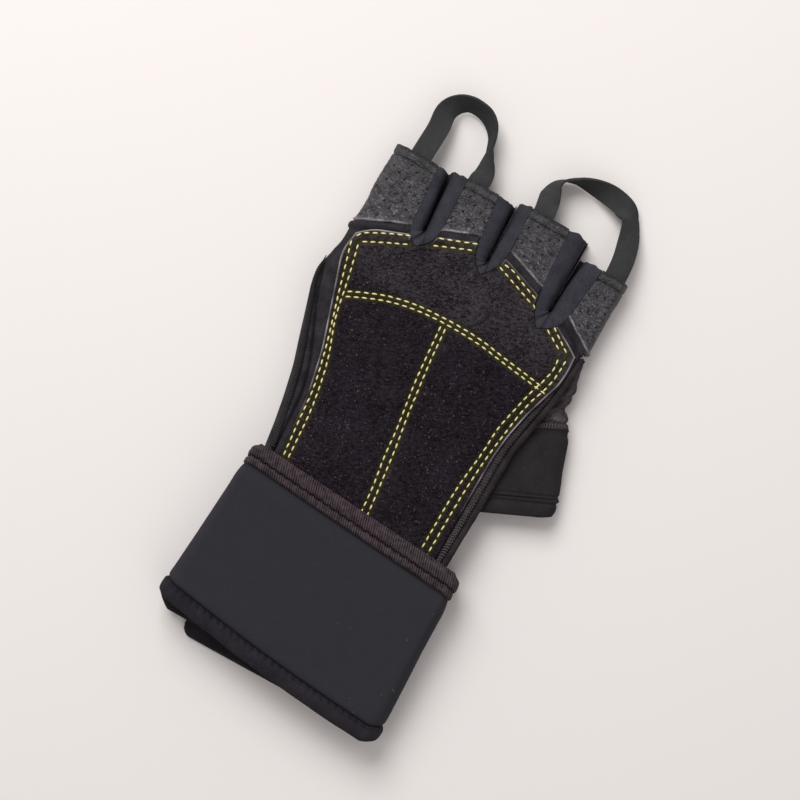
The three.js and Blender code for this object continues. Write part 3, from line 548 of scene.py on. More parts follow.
# The ribs of the shape, painted as lit crests and shaded grooves over a patchy tone
def bindingLook(start, coords, cloth):
    tones = bindingTones
    x, y, _ = coords.parts()
    ribs = ((x + y * tones["slant"]) * (2 * math.pi / tones["rib"])).sine() * 0.5 + 0.5
    patch = coords.noise(0.002, 3, 0.6)
    fuzz = coords.noise(0.0004, 2, 0.6)
    tone = (ribs * 0.35 + patch * 0.9 + fuzz * 0.5 - 0.5).step(0.0, 0.85)
    woven = tone.blend(tones["dark"], tones["light"])
    base = (mark(start, "thread") * patch * 1.1).blend(woven, tones["thread"])
    return {
        "Base Color": base,
        "Roughness": 0.85,
        "Specular IOR Level": 0.12,
        "Normal": relief(start, ribs + fuzz * 0.6, 0.0001, 0.8),
    }


threadTones = {"light": (0.9, 0.85, 0.52), "shade": (0.6, 0.49, 0.11), "twist": 0.0007}


def threadLook(start, coords, cloth):
    x, y, z = coords.parts()
    twist = ((x + y * 0.8 + z * 1.3) * (2 * math.pi / threadTones["twist"])).sine() * 0.5 + 0.5
    fuzz = coords.noise(0.0005, 2, 0.6)
    tone = (twist * 0.4 + fuzz * 0.7).step(0.1, 0.75)
    return {
        "Base Color": tone.blend(threadTones["shade"], threadTones["light"]),
        "Roughness": 0.6,
        "Specular IOR Level": 0.3,
        "Normal": relief(start, twist + fuzz, 0.00006, 0.8),
    }


looks = {
    "suede": makeLook("blackSuede", suedeLook),
    "leather": makeLook("perforatedLeather", leatherLook),
    "ribbed": makeLook("ribbedBinding", bindingLook),
    "thread": makeLook("yellowThread", threadLook),
}
for name, tones in clothTones.items():
    looks[name] = makeLook(name + "Cloth", clothLook(*tones))
for name, tones in ribTones.items():
    looks[name] = makeLook(name + "Ribs", ribLook(*tones))
print("looks made:", len(looks))

# Where the strips between the stalls lie: their lower and upper edges, from one opening round to the other
stripFacts = {
    "slot": 0.0002,
    "opening": (0.0006, 0.0006, 0.0013),  # how far each slot opens at the fingertips
    "point": 1.6,
    "square": 3.2,  # how square the fold over the slot is: 2 is round
    "wall": 0.0012,
    "rise": 0.0012,
    "low": 0.0021,  # its lower edge stands on the back's cloth
    "pucker": 0.00045,
    "soft": 0.00022,
    "sideSteps": 60,
    "turnSteps": 40,
}


def stripCurves(strip, opening, stallLeft, stallRight):
    width, palm, slot = hand["width"], hand["palm"], stripFacts["slot"]
    crotchY, endY = palm * strip["crotch"], palm * strip["endY"]
    tipX, endX = width * strip["endX"], width * strip["slotEnd"]
    lowAll, highAll = [], []
    for sign, side, stall in ((-1, "left", stallLeft), (1, "right", stallRight)):
        openY = stallTop(stall)
        endEdge = width * strip[side + "End"]
        shoulderY = float(along(leatherHem, endEdge))
        low, high = [], []
        for t in np.linspace(0, 1, stripFacts["sideSteps"] + 1):
            apart = slot + opening * (1 - t) ** 1.5
            lowX = lerp(width * strip["slotTop"], endX, t) + sign * apart
            low.append((lowX, lerp(openY, crotchY + slot, t)))
            high.append((lerp(width * strip[side + "Top"], endEdge, t), lerp(openY, shoulderY, t)))
        for t in np.linspace(0, 1, stripFacts["turnSteps"] + 1)[1:]:
            angle = t * math.pi / 2
            swing = max(0, math.cos(angle)) ** stripFacts["point"]
            low.append((endX + sign * slot * math.cos(angle), crotchY + slot - slot * math.sin(angle)))
            high.append((lerp(tipX, endEdge, swing), lerp(shoulderY, endY, math.sin(angle))))
        if sign > 0:
            low, high = low[::-1][1:], high[::-1][1:]
        lowAll += low
        highAll += high
    return np.array(lowAll), np.array(highAll)


stripEdges = []
for i, strip in enumerate(strips):
    stripEdges.append(stripCurves(strip, stripFacts["opening"][i], stalls[i], stalls[i + 1]))


# Upper edge of a piece below the strips, at each x: its hem, or the outline of the strip's end let out
def topEdge(x, table, hemAir, stripAir):
    y = along(table, x) - hemAir
    for strip, (_, high) in zip(strips, stripEdges):
        turn = high[stripFacts["sideSteps"] :][: 2 * stripFacts["turnSteps"] + 1]
        middle = np.array([hand["width"] * strip["slotEnd"], hand["palm"] * strip["crotch"]])
        away = unit(turn - middle)
        outline = turn + away * stripAir
        inside = (x > outline[0, 0]) & (x < outline[-1, 0])
        y = np.where(inside, np.minimum(y, np.interp(x, outline[:, 0], outline[:, 1])), y)
    return y


# The double rows of yellow stitching: millimetres, drawn on the flat palm
stitchRows = {
    "leftOuter": [(-53, 40), (-50, 30), (-46.5, 18), (-44, 10), (-40, -4), (-37, -18), (-36, -28),
                  (-34, -46)],
    "leftInner": [(-50, 40), (-47, 28), (-43, 10), (-38, -4), (-34.5, -20), (-32, -46)],
    "cornerOuter": [(-52.4, 41.4), (-51, 43.4), (-46, 46.6), (-40, 49.6), (-35, 51.8)],
    "cornerInner": [(-49.5, 40.8), (-43, 44.2), (-33, 49)],
    "ringOuter": [(-25, 56.5), (-18, 59.2), (-11.5, 61.8)],
    "ringInner": [(-25.5, 53), (-18, 56.2), (-10.5, 59.3)],
    "middleOuter": [(1.6, 60.6), (6, 60), (12, 57.6), (19.4, 54.9)],
    "middleInner": [(0.4, 59), (10, 55.6), (19.8, 52.2)],
    "indexOuter": [(30, 49.5), (35, 46), (39.6, 42.9)],
    "indexInner": [(28, 47.5), (36.5, 42.6)],
    "rightOuter": [(40.5, 41), (40.2, 33), (39.3, 28), (36.7, 20), (34.2, 5), (33, -5), (32, -20),
                   (31.5, -50)],
    "rightInner": [(37.6, 40), (38, 35), (37, 30), (35.4, 25), (33, 15), (31, 5), (30.5, -5),
                   (29, -20), (28.5, -50)],
    "arcUpper": [(-45, 21.6), (-40, 24), (-30, 28), (-20, 30.3), (-10, 31.2), (0, 31.5), (10, 31), (20, 29.6),
                 (30, 28.4), (37.5, 27.4)],
    "arcLower": [(-44.6, 19.6), (-39.6, 22), (-29.8, 26), (-20, 28.4), (-10, 29.5), (0, 29.7), (10, 29.2),
                 (20, 27.9), (30, 26.7), (40.5, 25.6)],
    "centreLeft": [(-7.2, 28.6), (-6, 15), (-5, 5), (-3.5, -5), (-2, -15), (-1, -25), (1, -38), (2, -49)],
    "centreRight": [(-5.2, 28.6), (-4, 15), (-2.5, 3), (-1, -8), (1, -20), (3, -35), (4.7, -49)],
}
stitchFacts = {"pitch": 0.0031, "length": 0.0022, "radius": 0.00033, "dip": 0.0006, "sink": 0.0012}


# A smooth line through the points of a row, at even steps
def evenly(points, step):
    points = np.array(points, float)
    lengths = np.concatenate([[0], np.cumsum(np.linalg.norm(np.diff(points, axis=0), axis=1))])
    fine = np.linspace(0, lengths[-1], 40 * len(points))
    tangents = np.gradient(points, lengths, axis=0)
    i = np.clip(np.searchsorted(lengths, fine, side="right") - 1, 0, len(points) - 2)
    span = (lengths[i + 1] - lengths[i])[:, None]
    t = ((fine - lengths[i]) / span[:, 0])[:, None]
    curve = (2 * t**3 - 3 * t**2 + 1) * points[i] + (t**3 - 2 * t**2 + t) * span * tangents[i]
    curve += (-2 * t**3 + 3 * t**2) * points[i + 1] + (t**3 - t**2) * span * tangents[i + 1]
    lengths = np.concatenate([[0], np.cumsum(np.linalg.norm(np.diff(curve, axis=0), axis=1))])
    count = max(1, round(lengths[-1] / step))
    wanted = np.linspace(0, lengths[-1], count + 1)
    return np.stack([np.interp(wanted, lengths, curve[:, axis]) for axis in range(points.shape[1])], axis=1)


seamLines = {name: evenly(np.array(row) * 0.001, 0.0007) for name, row in stitchRows.items()}


def lineDistance(x, y, lines):
    away = np.full(x.shape, 1.0)
    for line in lines:
        for start in range(0, len(line), 40):
            part = line[start : start + 40]
            near = np.hypot(x[..., None] - part[:, 0], y[..., None] - part[:, 1]).min(-1)
            away = np.minimum(away, near)
    return away


panelFacts = {"edge": 0.0014, "pad": 0.0011, "cols": 320, "rows": 330, "edgeRound": 0.0006, "fade": 0.7}


def palmPanel():
    facts = panelFacts
    even = np.linspace(0, 1, facts["cols"] - 7)
    shares = np.unique(np.concatenate([even, [0.0008, 0.002, 0.0045, 0.9955, 0.998, 0.9992]]))
    rowShares = np.concatenate([np.linspace(0, 0.99, facts["rows"] - 4), [0.9925, 0.995, 0.9975, 1]])
    left, right = across(panelLeft, 0.042), across(panelRight, 0.042)
    topX = lerp(left, right, shares)
    plainY = along(panelTop, topX)
    topY = topEdge(topX, panelTop, 0, 0.00035)
    toTop = smooth(facts["fade"], 1, rowShares)[:, None]
    y = hand["end"] + (plainY - hand["end"])[None, :] * rowShares[:, None] - (plainY - topY)[None, :] * toTop
    leftX, rightX = across(panelLeft, y), across(panelRight, y)
    x = lerp(leftX, rightX, shares[None, :])
    topLine = np.stack([topX, topY], axis=-1)
    steps = np.concatenate([[0], np.cumsum(np.linalg.norm(np.diff(topLine, axis=0), axis=1))])
    fine = np.arange(0, steps[-1], 0.0002)
    topLine = np.stack([np.interp(fine, steps, topLine[:, axis]) for axis in range(2)], axis=-1)
    upper = rowShares > facts["fade"]
    fromTop = np.full(x.shape, 1.0)
    fromTop[upper] = lineDistance(x[upper], y[upper], [topLine])
    fromEdge = np.maximum(np.minimum(np.minimum(x - leftX, rightX - x), fromTop), 0)
    toSeam = lineDistance(x, y, seamLines.values())
    points = np.stack([x, y, 0 * x], axis=-1)
    puff = smooth(0, 0.011, fromEdge) * smooth(-0.052, -0.036, y)
    uneven = ripple(points, 0.03, 3) * 0.00022 + ripple(points, 0.011, 4) * 0.0001
    uneven += ripple(points, 0.004, 5) * 0.00005
    dip = stitchFacts["dip"] * np.exp(-((toSeam / stitchFacts["sink"]) ** 2))
    drop = np.clip(1 - fromEdge / facts["edgeRound"], 0, 1)
    edge = facts["edgeRound"] * 0.9 * (1 - np.sqrt(1 - drop**2 + 1e-9))
    lower = topZ(x, y) + hand["gap"]
    z = lower + facts["edge"] + facts["pad"] * puff + uneven * smooth(0, 0.006, fromEdge) - dip - edge
    outer = np.stack([x, y, z], axis=-1)
    inner = np.stack([x, y, lower], axis=-1)
    near = np.exp(-((toSeam / 0.00085) ** 2))
    notch = smooth(0.0005, 0.002, (plainY - topY)[None, :] + 0 * y)
    shown = smooth(-0.035, 0.0, y) * (0.65 + 0.4 * ripple(points, 0.006, 6))
    shown *= 1 - 0.75 * smooth(0.045, 0.05, y) * smooth(-0.032, -0.024, x)
    cut = (1 - smooth(0.0003, 0.0008, fromEdge)) * np.clip(shown, 0, 1) * (1 - notch)
    upper = smooth(0.025, 0.034, y)
    piece = makeWall("palm_suede", outer, inner, 0.05, marks={"seam": near, "cut": cut, "upper": upper})
    return finishPiece(piece, looks["suede"], ["palm_panel"])


backFacts = {"wall": 0.0018, "side": 16, "flat": 150, "rows": 170, "wrinkle": 0.0002}


def backShell():
    facts = backFacts
    left0, right0 = hand["width"] * stalls[0]["left"], hand["width"] * stalls[3]["right"]
    flatShares = np.linspace(0.005, 0.995, facts["flat"])
    flatX = lerp(left0 + hand["littleRound"], right0 - hand["thumbRound"], flatShares)
    tops = np.full(len(flatX), stallTop(stalls[3]))
    for strip, stall in list(zip(strips, stalls))[::-1]:
        tops = np.where(flatX < hand["width"] * strip["slotTop"], stallTop(stall), tops)
    rows = np.linspace(0, 1, facts["rows"])[:, None]

    def heights(top):
        return lerp(hand["end"], top, rows)

    turn = np.linspace(1, 0, facts["side"])[None, :]
    y = heights(np.full((1, facts["side"]), stallTop(stalls[0])))
    climb = share(seamClimb, y) - seamShare(hand["littleRound"])
    x, z = sidePoint(y, climb * turn, across(littleSide, y), hand["littleRound"], edgeZ(y))
    leftPart = np.stack([x, y, z], axis=-1)
    y = heights(tops[None, :])
    startX, endX = across(littleSide, y) + hand["littleRound"], across(backThumbSide, y) - hand["thumbRound"]
    x = lerp(startX, endX, flatShares)
    flatPart = np.stack([x, y, floorZ(y)], axis=-1)
    turn = np.linspace(0, 1, facts["side"])[None, :]
    y = heights(np.full((1, facts["side"]), stallTop(stalls[3])))
    climb = np.maximum(0.02, share(thumbSideClimb, y) - seamShare(hand["thumbRound"]))
    under = 0.0018 * (1 - smooth(0.045, hand["knuckles"], y))
    x, z = sidePoint(y, climb * turn, across(backThumbSide, y), hand["thumbRound"], edgeZ(y) - under)
    rightPart = np.stack([x, y, z], axis=-1)
    outer = np.concatenate([leftPart, flatPart, rightPart], axis=1)
    normals = facingNormals(outer)
    soft = np.abs(ripple(outer, 0.02, 11, (1, 0.6, 1))) * facts["wrinkle"]
    inner = outer + normals * facts["wall"]
    outer = outer + normals * soft[..., None]
    piece = makeWall("back_cloth", outer, inner, 0.3)
    cutSlots(piece)
    return finishPiece(piece, looks["cloth"], ["back_shell"])


# Slots between the fingers, cut by four-sided prisms
def cutSlots(piece):
    for strip in strips:
        bpy.ops.object.select_all(action="DESELECT")
        bpy.ops.mesh.primitive_cube_add(size=1, location=(0, 0, 0))
        cutter = bpy.context.object
        low, high = hand["palm"] * strip["crotch"], hand["palm"]
        for vertex in cutter.data.vertices:
            atTop = vertex.co.y > 0
            middle = hand["width"] * (strip["slotTop"] if atTop else strip["slotEnd"])
            vertex.co.x = middle + math.copysign(0.0003 if atTop else 0.00012, vertex.co.x)
            vertex.co.y = high if atTop else low
            vertex.co.z = math.copysign(0.02, vertex.co.z)
        bpy.context.view_layer.objects.active = piece
        cut = piece.modifiers.new("slot", "BOOLEAN")
        cut.operation = "DIFFERENCE"
        cut.solver = "EXACT"
        cut.object = cutter
        bpy.ops.object.modifier_apply(modifier=cut.name)
        bpy.data.objects.remove(cutter)


shellFacts = {
    "wall": 0.0015,
    "side": 22,
    "flat": 230,
    "rows": 170,
    "hemAir": 0.0006,
    "stripAir": 0.0003,
    "rollRoom": 0.0029,  # for the rolled edge beside it, and a gap
    "roll": 0.0011,
    "crease": 0.0003,
    "foldRise": 0.0006,
    "foldDip": 0.0008,
}
# The fold that runs down the cloth beside the panel, in millimetres
marginFold = [(-58, 27), (-53.5, 14), (-48.4, 3), (-43.2, -9), (-40.2, -20), (-39.2, -33), (-38.5, -46)]


def palmShell():
    facts = shellFacts
    fingersLeft = hand["width"] * stalls[0]["left"]

    def topLine(x):
        return topEdge(x, leatherHem, facts["hemAir"], facts["stripAir"])[None, :]

    turn = np.linspace(0, 1, facts["side"])
    climbTop = lerp(share(seamClimb, hand["knuckles"]), 1, turn)
    sideX, _ = sidePoint(hand["knuckles"], climbTop, fingersLeft, hand["littleRound"], hand["height"])
    flatShares = np.linspace(0, 1, facts["flat"])
    rollTop = across(rollSide, hand["knuckles"]) - facts["rollRoom"]
    flatX = lerp(fingersLeft + hand["littleRound"], rollTop, flatShares)
    rows = np.linspace(0, 1, facts["rows"])[:, None]
    y = lerp(hand["end"], topLine(sideX), rows)
    climb = lerp(share(seamClimb, y) + seamShare(hand["littleRound"]), 1, turn[None, :] * hand["sideTurn"])
    x, z = sidePoint(y, climb, across(littleSide, y), hand["littleRound"], edgeZ(y))
    sidePart = np.stack([x, y, z], axis=-1)
    y = lerp(hand["end"], topLine(flatX), rows)
    startX, endX = across(littleSide, y) + hand["littleRound"], across(rollSide, y) - facts["rollRoom"]
    x = lerp(startX, endX, flatShares[None, :])
    flatPart = np.stack([x, y, topZ(x, y)], axis=-1)
    outer = np.concatenate([sidePart, flatPart], axis=1)
    normals = facingNormals(outer)
    inner = outer - normals * facts["wall"]
    below = along(leatherHem, outer[..., 0]) - outer[..., 1]
    roll = np.sqrt(np.clip(1 - ((below - 0.0019) / 0.0017) ** 2, 0, 1)) * facts["roll"]
    crease = ripple(outer, 0.012, 21, (1.5, 0.5, 1)) * facts["crease"]
    x, y = outer[..., 0], outer[..., 1]
    rising = np.array(marginFold)[::-1] * 0.001
    toFold = lineDistance(x, y, [evenly(rising[::-1], 0.0005)])
    outside = x < np.interp(y, rising[:, 1], rising[:, 0])
    fold = facts["foldRise"] * bump(toFold, 0.0016, 0.0011) * outside
    fold -= facts["foldDip"] * bump(toFold, 0, 0.0006)
    outer = outer + normals * (roll + fold + crease * smooth(0, 0.002, below))[..., None]
    # The thread mark here is painted shade in the groove of the margin fold
    piece = makeWall("palm_cloth", outer, inner, 0.3, marks={"thread": 0.9 * bump(toFold, 0, 0.0005)})
    return finishPiece(piece, looks["cloth"], ["palm_shell"])


leatherFacts = {
    "wall": 0.0014,
    "side": 20,
    "flat": 70,
    "rows": 110,
    "hem": 0.00063,
    "fold": 0.0035,  # how far below the opening its turned edge is sewn
    "foldDepth": 0.00035,
    "foldWidth": 0.0004,
    "wave": 0.00016,
    "ripple": 0.00009,
    "grain": 0.00016,
}


def fingerFront(index):
    facts = leatherFacts
    stall = stalls[index]
    before = strips[index - 1] if index > 0 else None
    after = strips[index] if index < 3 else None
    topY = stallTop(stall)
    radius = hand["thumbRound"] if before else hand["littleRound"]
    climbFrom = float(share(thumbSideClimb if before else seamClimb, topY)) + seamShare(radius)
    rows = np.linspace(0, 1, facts["rows"])[:, None]
    leftSides = (before["rightEnd"], before["rightTop"]) if before else (stall["left"], stall["left"])
    rightSides = (after["leftEnd"], after["leftTop"]) if after else (stall["right"], stall["right"])
    leftX, rightX = hand["width"] * lerp(*leftSides, rows), hand["width"] * lerp(*rightSides, rows)
    start = leftX + (hand["gap"] if before else hand["littleRound"])
    end = rightX - (hand["gap"] if after else hand["thumbRound"])
    x = lerp(start, end, np.linspace(0, 1, facts["flat"])[None, :])
    y = lerp(along(leatherHem, x), topY, rows)
    parts = [np.stack([x, y, edgeZ(y)], axis=-1)]

    def roundPart(edgeX, climbs):
        sideX, _ = sidePoint(topY, climbs, edgeX[0, 0], radius, hand["height"])
        y = lerp(along(leatherHem, sideX)[None, :], topY, rows)
        x, z = sidePoint(y, climbs[None, :], edgeX, radius, edgeZ(y))
        return np.stack([x + 0 * y, y, z], axis=-1)

    climbs = lerp(climbFrom, 1, np.linspace(0, 1, facts["side"]) * hand["sideTurn"])
    if not before:
        parts.insert(0, roundPart(leftX, climbs))
    if not after:
        parts.append(roundPart(rightX, climbs[::-1]))
    outer = np.concatenate(parts, axis=1)
    normals = facingNormals(outer)
    inner = outer - normals * facts["wall"]
    fromHem = outer[..., 1] - outer[0:1, :, 1]
    fromTop = topY - outer[..., 1]
    hem = bump(fromHem, 0.0006, 0.0006)
    wave = ripple(outer, 0.012, 31 + index) * facts["wave"]
    wave += ripple(outer, 0.005, 41 + index) * facts["ripple"]
    inField = smooth(0.001, 0.003, fromHem) * smooth(0.0035, 0.0045, fromTop)
    grain = np.abs(ripple(outer, 0.0024, 45 + index, (1, 1.5, 1)))
    fold = 0.0002 * smooth(facts["fold"], 0.002, fromTop)
    fold -= facts["foldDepth"] * bump(fromTop, facts["fold"], facts["foldWidth"])
    lift = wave + hem * facts["hem"] + fold - grain * inField * facts["grain"]
    outer = outer + normals * lift[..., None]
    outer[..., 1] += ripple(outer, 0.005, 47 + index, (1, 0, 1)) * (
        0.0003 * np.exp(-fromTop / 0.002) + 0.00025 * np.exp(-fromHem / 0.0015)
    )
    hem = bump(fromHem, 0.0005, 0.0005) * np.clip(0.75 + 0.5 * ripple(outer, 0.005, 49 + index), 0, 1)
    # Painted shade: a dark line in the crease of the turned edge, and a dark rim along the opening
    line = 0.85 * bump(fromTop, facts["fold"], facts["foldWidth"])
    marks = {
        "hem": hem,
        "bare": np.maximum(1 - smooth(0.0016, 0.0026, fromHem), 1 - smooth(0.0032, 0.0042, fromTop)),
        "fold": line + 0.9 * (1 - smooth(0.0005, 0.0011, fromTop)),
        # where the painted highlights show: fewer towards the stall's top
        "low": 0.1 + 0.9 * smooth(0.75, 0.3, rows + 0 * fromTop),
    }
    piece = makeWall("leather_" + stall["name"], outer, inner, 0.35, marks=marks)
    return finishPiece(piece, looks["leather"], ["finger_front_" + stall["name"]])


def fourchette(index):
    strip = strips[index]
    low, high = stripEdges[index]
    turns = np.concatenate([[0, 0.01, 0.03, 0.06], np.linspace(0.1, 0.9, 30), [0.94, 0.97, 0.99, 1]])[:, None]
    lean = 1 - np.abs(np.cos(turns * np.pi / 2)) ** (2 / stripFacts["square"])
    rise = np.sin(turns * np.pi / 2) ** (2 / stripFacts["square"])
    x = lerp(low[:, 0], high[:, 0], lean)
    y = lerp(low[:, 1], high[:, 1], lean)
    near = smooth(hand["palm"] * (strip["crotch"] + 0.02), hand["palm"] * strip["endY"], high[:, 1])
    top = edgeZ(high[:, 1]) + stripFacts["rise"] * near
    z = lerp(stripFacts["low"], top, rise)
    atOpening = np.exp(-np.minimum(np.arange(len(low)), np.arange(len(low))[::-1]) / 2.5)
    y = y + atOpening * ripple(np.stack([x, 0 * x, z], axis=-1), 0.004, 57 + index) * 0.0004
    outer = np.stack([x, y, z], axis=-1)
    normals = facingNormals(outer)
    inner = outer - normals * stripFacts["wall"]
    middle = np.array([hand["width"] * strip["slotEnd"], hand["palm"] * strip["crotch"]])
    angle = np.arctan2(x - middle[0], -(y - middle[1]))
    pucker = np.sin(angle * 8 + 1.3 * index + 2 * ripple(outer, 0.01, 54))
    pucker *= stripFacts["pucker"] * near * rise
    soft = ripple(outer, 0.009, 51 + index, (1, 0.6, 1)) * stripFacts["soft"] * rise
    outer = outer + normals * (pucker + soft)[..., None]
    piece = makeWall("strip_" + strip["name"], outer, inner, 0.3)
    return finishPiece(piece, looks["stretch"], ["fourchette_" + strip["name"]])


# A ring of points round each of a row of oval sections
def ovalTube(middles, acrossAxes, upAxes, count):
    turns = np.linspace(0, 2 * np.pi, count, endpoint=False)
    return (
        middles[:, None, :]
        + acrossAxes[:, None, :] * np.cos(turns)[None, :, None]
        + upAxes[:, None, :] * np.sin(turns)[None, :, None]
    )


# A closed bar through rings of points
def makeBar(name, rings):
    rows, cols = rings.shape[:2]
    mesh = bpy.data.meshes.new(name)
    faces = gridQuads(rows, cols, cols).tolist()
    faces += [list(range(cols))[::-1], list(range((rows - 1) * cols, rows * cols))]
    mesh.from_pydata(rings.reshape(-1, 3).tolist(), [], faces)
    closed = np.concatenate([rings, rings[:, :1]], axis=1)
    wide, long = clothLengths(closed)
    drawUv(mesh, np.stack([long[:, :cols], wide[:, :cols]], axis=-1).reshape(-1, 2))
    piece = placePiece(name, mesh)
    cleanMesh(piece)
    return piece


seamFacts = {"width": 0.0022, "height": 0.0012, "rollWidth": 0.0026, "rollHeight": 0.0028, "rib": 0.0011}


def pinkySeam():
    facts = seamFacts
    t = np.linspace(0, 1, 420)
    y = lerp(-0.43, 0.3, t) * hand["palm"]
    edge = across(littleSide, y)
    climb = share(seamClimb, y)
    x, z = sidePoint(y, climb, edge, hand["littleRound"], edgeZ(y))
    x2, z2 = sidePoint(y, climb + 0.01, edge, hand["littleRound"], edgeZ(y))
    ahead = unit(np.stack([x2 - x, 0 * y, z2 - z], axis=-1))
    out = np.stack([-ahead[:, 2], 0 * y, ahead[:, 0]], axis=-1)
    taper = 0.25 + 0.75 * smooth(1, 0.9, t)
    rib = 1 + 0.12 * np.sin(2 * np.pi * y / facts["rib"])
    middle = np.stack([x, y, z], axis=-1) + out * (1.3 * hand["gap"] + facts["height"] / 2)
    swell = (taper * rib / 2)[:, None]
    rings = ovalTube(middle, ahead * swell * facts["width"], out * swell * facts["height"], 14)
    piece = makeBar("little_finger_seam", rings)
    return finishPiece(piece, looks["seam"], ["pinky_seam"])


def thumbSideRoll():
    facts = seamFacts
    y = np.linspace(hand["end"], 0.44 * hand["palm"], 420)
    middle = np.stack([across(rollSide, y) - facts["rollWidth"] / 2, y, edgeZ(y) - 0.0001], axis=-1)
    swell = 1 + 0.06 * ripple(middle, 0.015, 61) + 0.03 * ripple(middle, 0.004, 62)
    wide = np.stack([swell * facts["rollWidth"] / 2, 0 * y, 0 * y], axis=-1)
    high = np.stack([0 * y, 0 * y, swell * facts["rollHeight"] / 2], axis=-1)
    piece = makeBar("thumb_side_roll_cloth", ovalTube(middle, wide, high, 16))
    return finishPiece(piece, looks["roll"], ["thumb_side_roll"])


# A flat overlocked seam: a low bar whose threads wrap it from side to side
def overlock(name, middle, wide, up, pitch, look):
    steps = np.linalg.norm(np.diff(middle, axis=0), axis=1)
    far = np.concatenate([[0], np.cumsum(steps)])
    swell = 1 + 0.16 * np.sin(2 * np.pi * far / pitch) + 0.08 * ripple(middle, 0.004, 63)
    piece = makeBar(name, ovalTube(middle, wide * swell[:, None], up * swell[:, None], 12))
    return finishPiece(piece, look)


def thumbSideOverlock():
    y = np.linspace(-0.052, 0.041, 900)
    inside, outside = across(panelRight, y) + 0.0002, across(rollSide, y) - seamFacts["rollWidth"]
    x = (inside + outside) / 2
    middle = np.stack([x, y, topZ(x, y) + 0.0003], axis=-1)
    wide = np.stack([(outside - inside) * 0.46, 0.0003 + 0 * y, 0 * y], axis=-1)
    up = np.stack([0 * y, 0 * y, 0.00075 + 0 * y], axis=-1)
    return overlock("thumb_side_overlock", middle, wide, up, 0.0012, looks["overlock"])


# Thumb stall: shares of width and palm length of each section's inner and outer end
thumbSections = np.array([
    (0.331, 0.17, 0.474, 0.45), (0.315, 0.13, 0.506, 0.325), (0.305, 0.1, 0.507, 0.25),
    (0.301, 0.07, 0.555, 0.19), (0.32, -0.06, 0.61, 0.03), (0.347, -0.205, 0.657, -0.065),
    (0.358, -0.275, 0.661, -0.135),
]) * [hand["width"], hand["palm"], hand["width"], hand["palm"]]
thumbFacts = {"wall": 0.0017, "height": 0.0098, "round": 0.004, "air": 0.00045}


def flatRings(inner, outer, low, high, radius, flatCount, arcCount):
    axis = outer - inner
    length = np.linalg.norm(axis, axis=1)[:, None]
    axis = axis / length
    half = (high - low) / 2
    flat = np.linspace(0, 1, flatCount)[None, :]
    arc = np.linspace(0, 1, arcCount + 2)[None, 1:-1] * np.pi
    w = np.concatenate([
        lerp(radius, length - radius, flat), length - radius + radius * np.sin(arc),
        lerp(length - radius, radius, flat), radius - radius * np.sin(arc) + 0 * length,
    ], axis=1)
    z = np.concatenate([-half + 0 * flat, -half * np.cos(arc), half + 0 * flat, half * np.cos(arc)], axis=1)
    xy = inner[:, None, :] + axis[:, None, :] * w[..., None]
    return np.concatenate([xy, (low + half + z + 0 * w)[..., None]], axis=-1)


def thumbSleeve(name, first, last, rows, shape, look, node):
    facts = thumbFacts

    def rail(col, s):
        places = np.arange(len(thumbSections))
        return np.stack([np.interp(s, places, thumbSections[:, col + axis]) for axis in range(2)], axis=-1)

    def ends(col):
        a, b = float(first), float(last)
        stepA = np.linalg.norm(rail(col, np.array([a + 1])) - rail(col, np.array([a])))
        stepB = np.linalg.norm(rail(col, np.array([b])) - rail(col, np.array([b - 1])))
        start = a + (facts["air"] / stepA if first > 0 else 0)
        end = b - (facts["air"] / stepB if last < len(thumbSections) - 1 else 0)
        return rail(col, np.linspace(start, end, rows))

    outer = flatRings(ends(0), ends(2), 0, facts["height"], facts["round"], 60, 18)
    normals = facingNormals(outer, outer - outer.mean(axis=1, keepdims=True), around=True)
    inner = outer - normals * facts["wall"]
    t = np.linspace(0, 1, rows)[:, None]
    outer = outer + normals * shape(outer, t)[..., None]
    piece = makeWall(name, outer, inner, 0.35, around=True)
    return finishPiece(piece, looks[look], [node])


# Heights of the thumb's folds, gathers, tucks and soft bumps
thumbFolds = {
    "fold": 0.0009,
    "gather": 0.00025,
    "gatherPitch": 0.0016,
    "bunched": 0.0004,
    "band": 0.00028,
    "seamTuck": 0.0006,
    "hemTuck": 0.0005,
    "hemPuff": 0.0004,
    "hem": 0.00012,
}


def gussetShape(points, t):
    above = smooth(0.001, 0.006, points[..., 2])
    phase = t * np.pi * 4 + points[..., 0] * 160 + ripple(points, 0.01, 70)
    folds = -thumbFolds["fold"] * np.abs(np.sin(phase))
    gathers = np.sin(points[..., 0] * 2 * np.pi / thumbFolds["gatherPitch"] + 8 * t)
    gathers *= thumbFolds["gather"] * smooth(0.55, 0.95, t)
    return (folds + gathers) * above + ripple(points, 0.006, 71) * thumbFolds["bunched"]


def bandShape(points, t):
    soft = ripple(points, 0.016, 72, (0.5, 1, 1)) * thumbFolds["band"]
    tuck = -thumbFolds["seamTuck"] * bump(t, 0.06, 0.05) - thumbFolds["hemTuck"] * bump(t, 0.97, 0.03)
    return soft * smooth(0, 0.15, t) + tuck


def hemShape(points, t):
    puff = thumbFolds["hemPuff"] * np.sin(np.pi * np.clip((t - 0.32) / 0.68, 0, 1))
    stitched = -thumbFolds["hemTuck"] * bump(t, 0.22, 0.08)
    return puff + stitched + ripple(points, 0.007, 73) * thumbFolds["hem"]


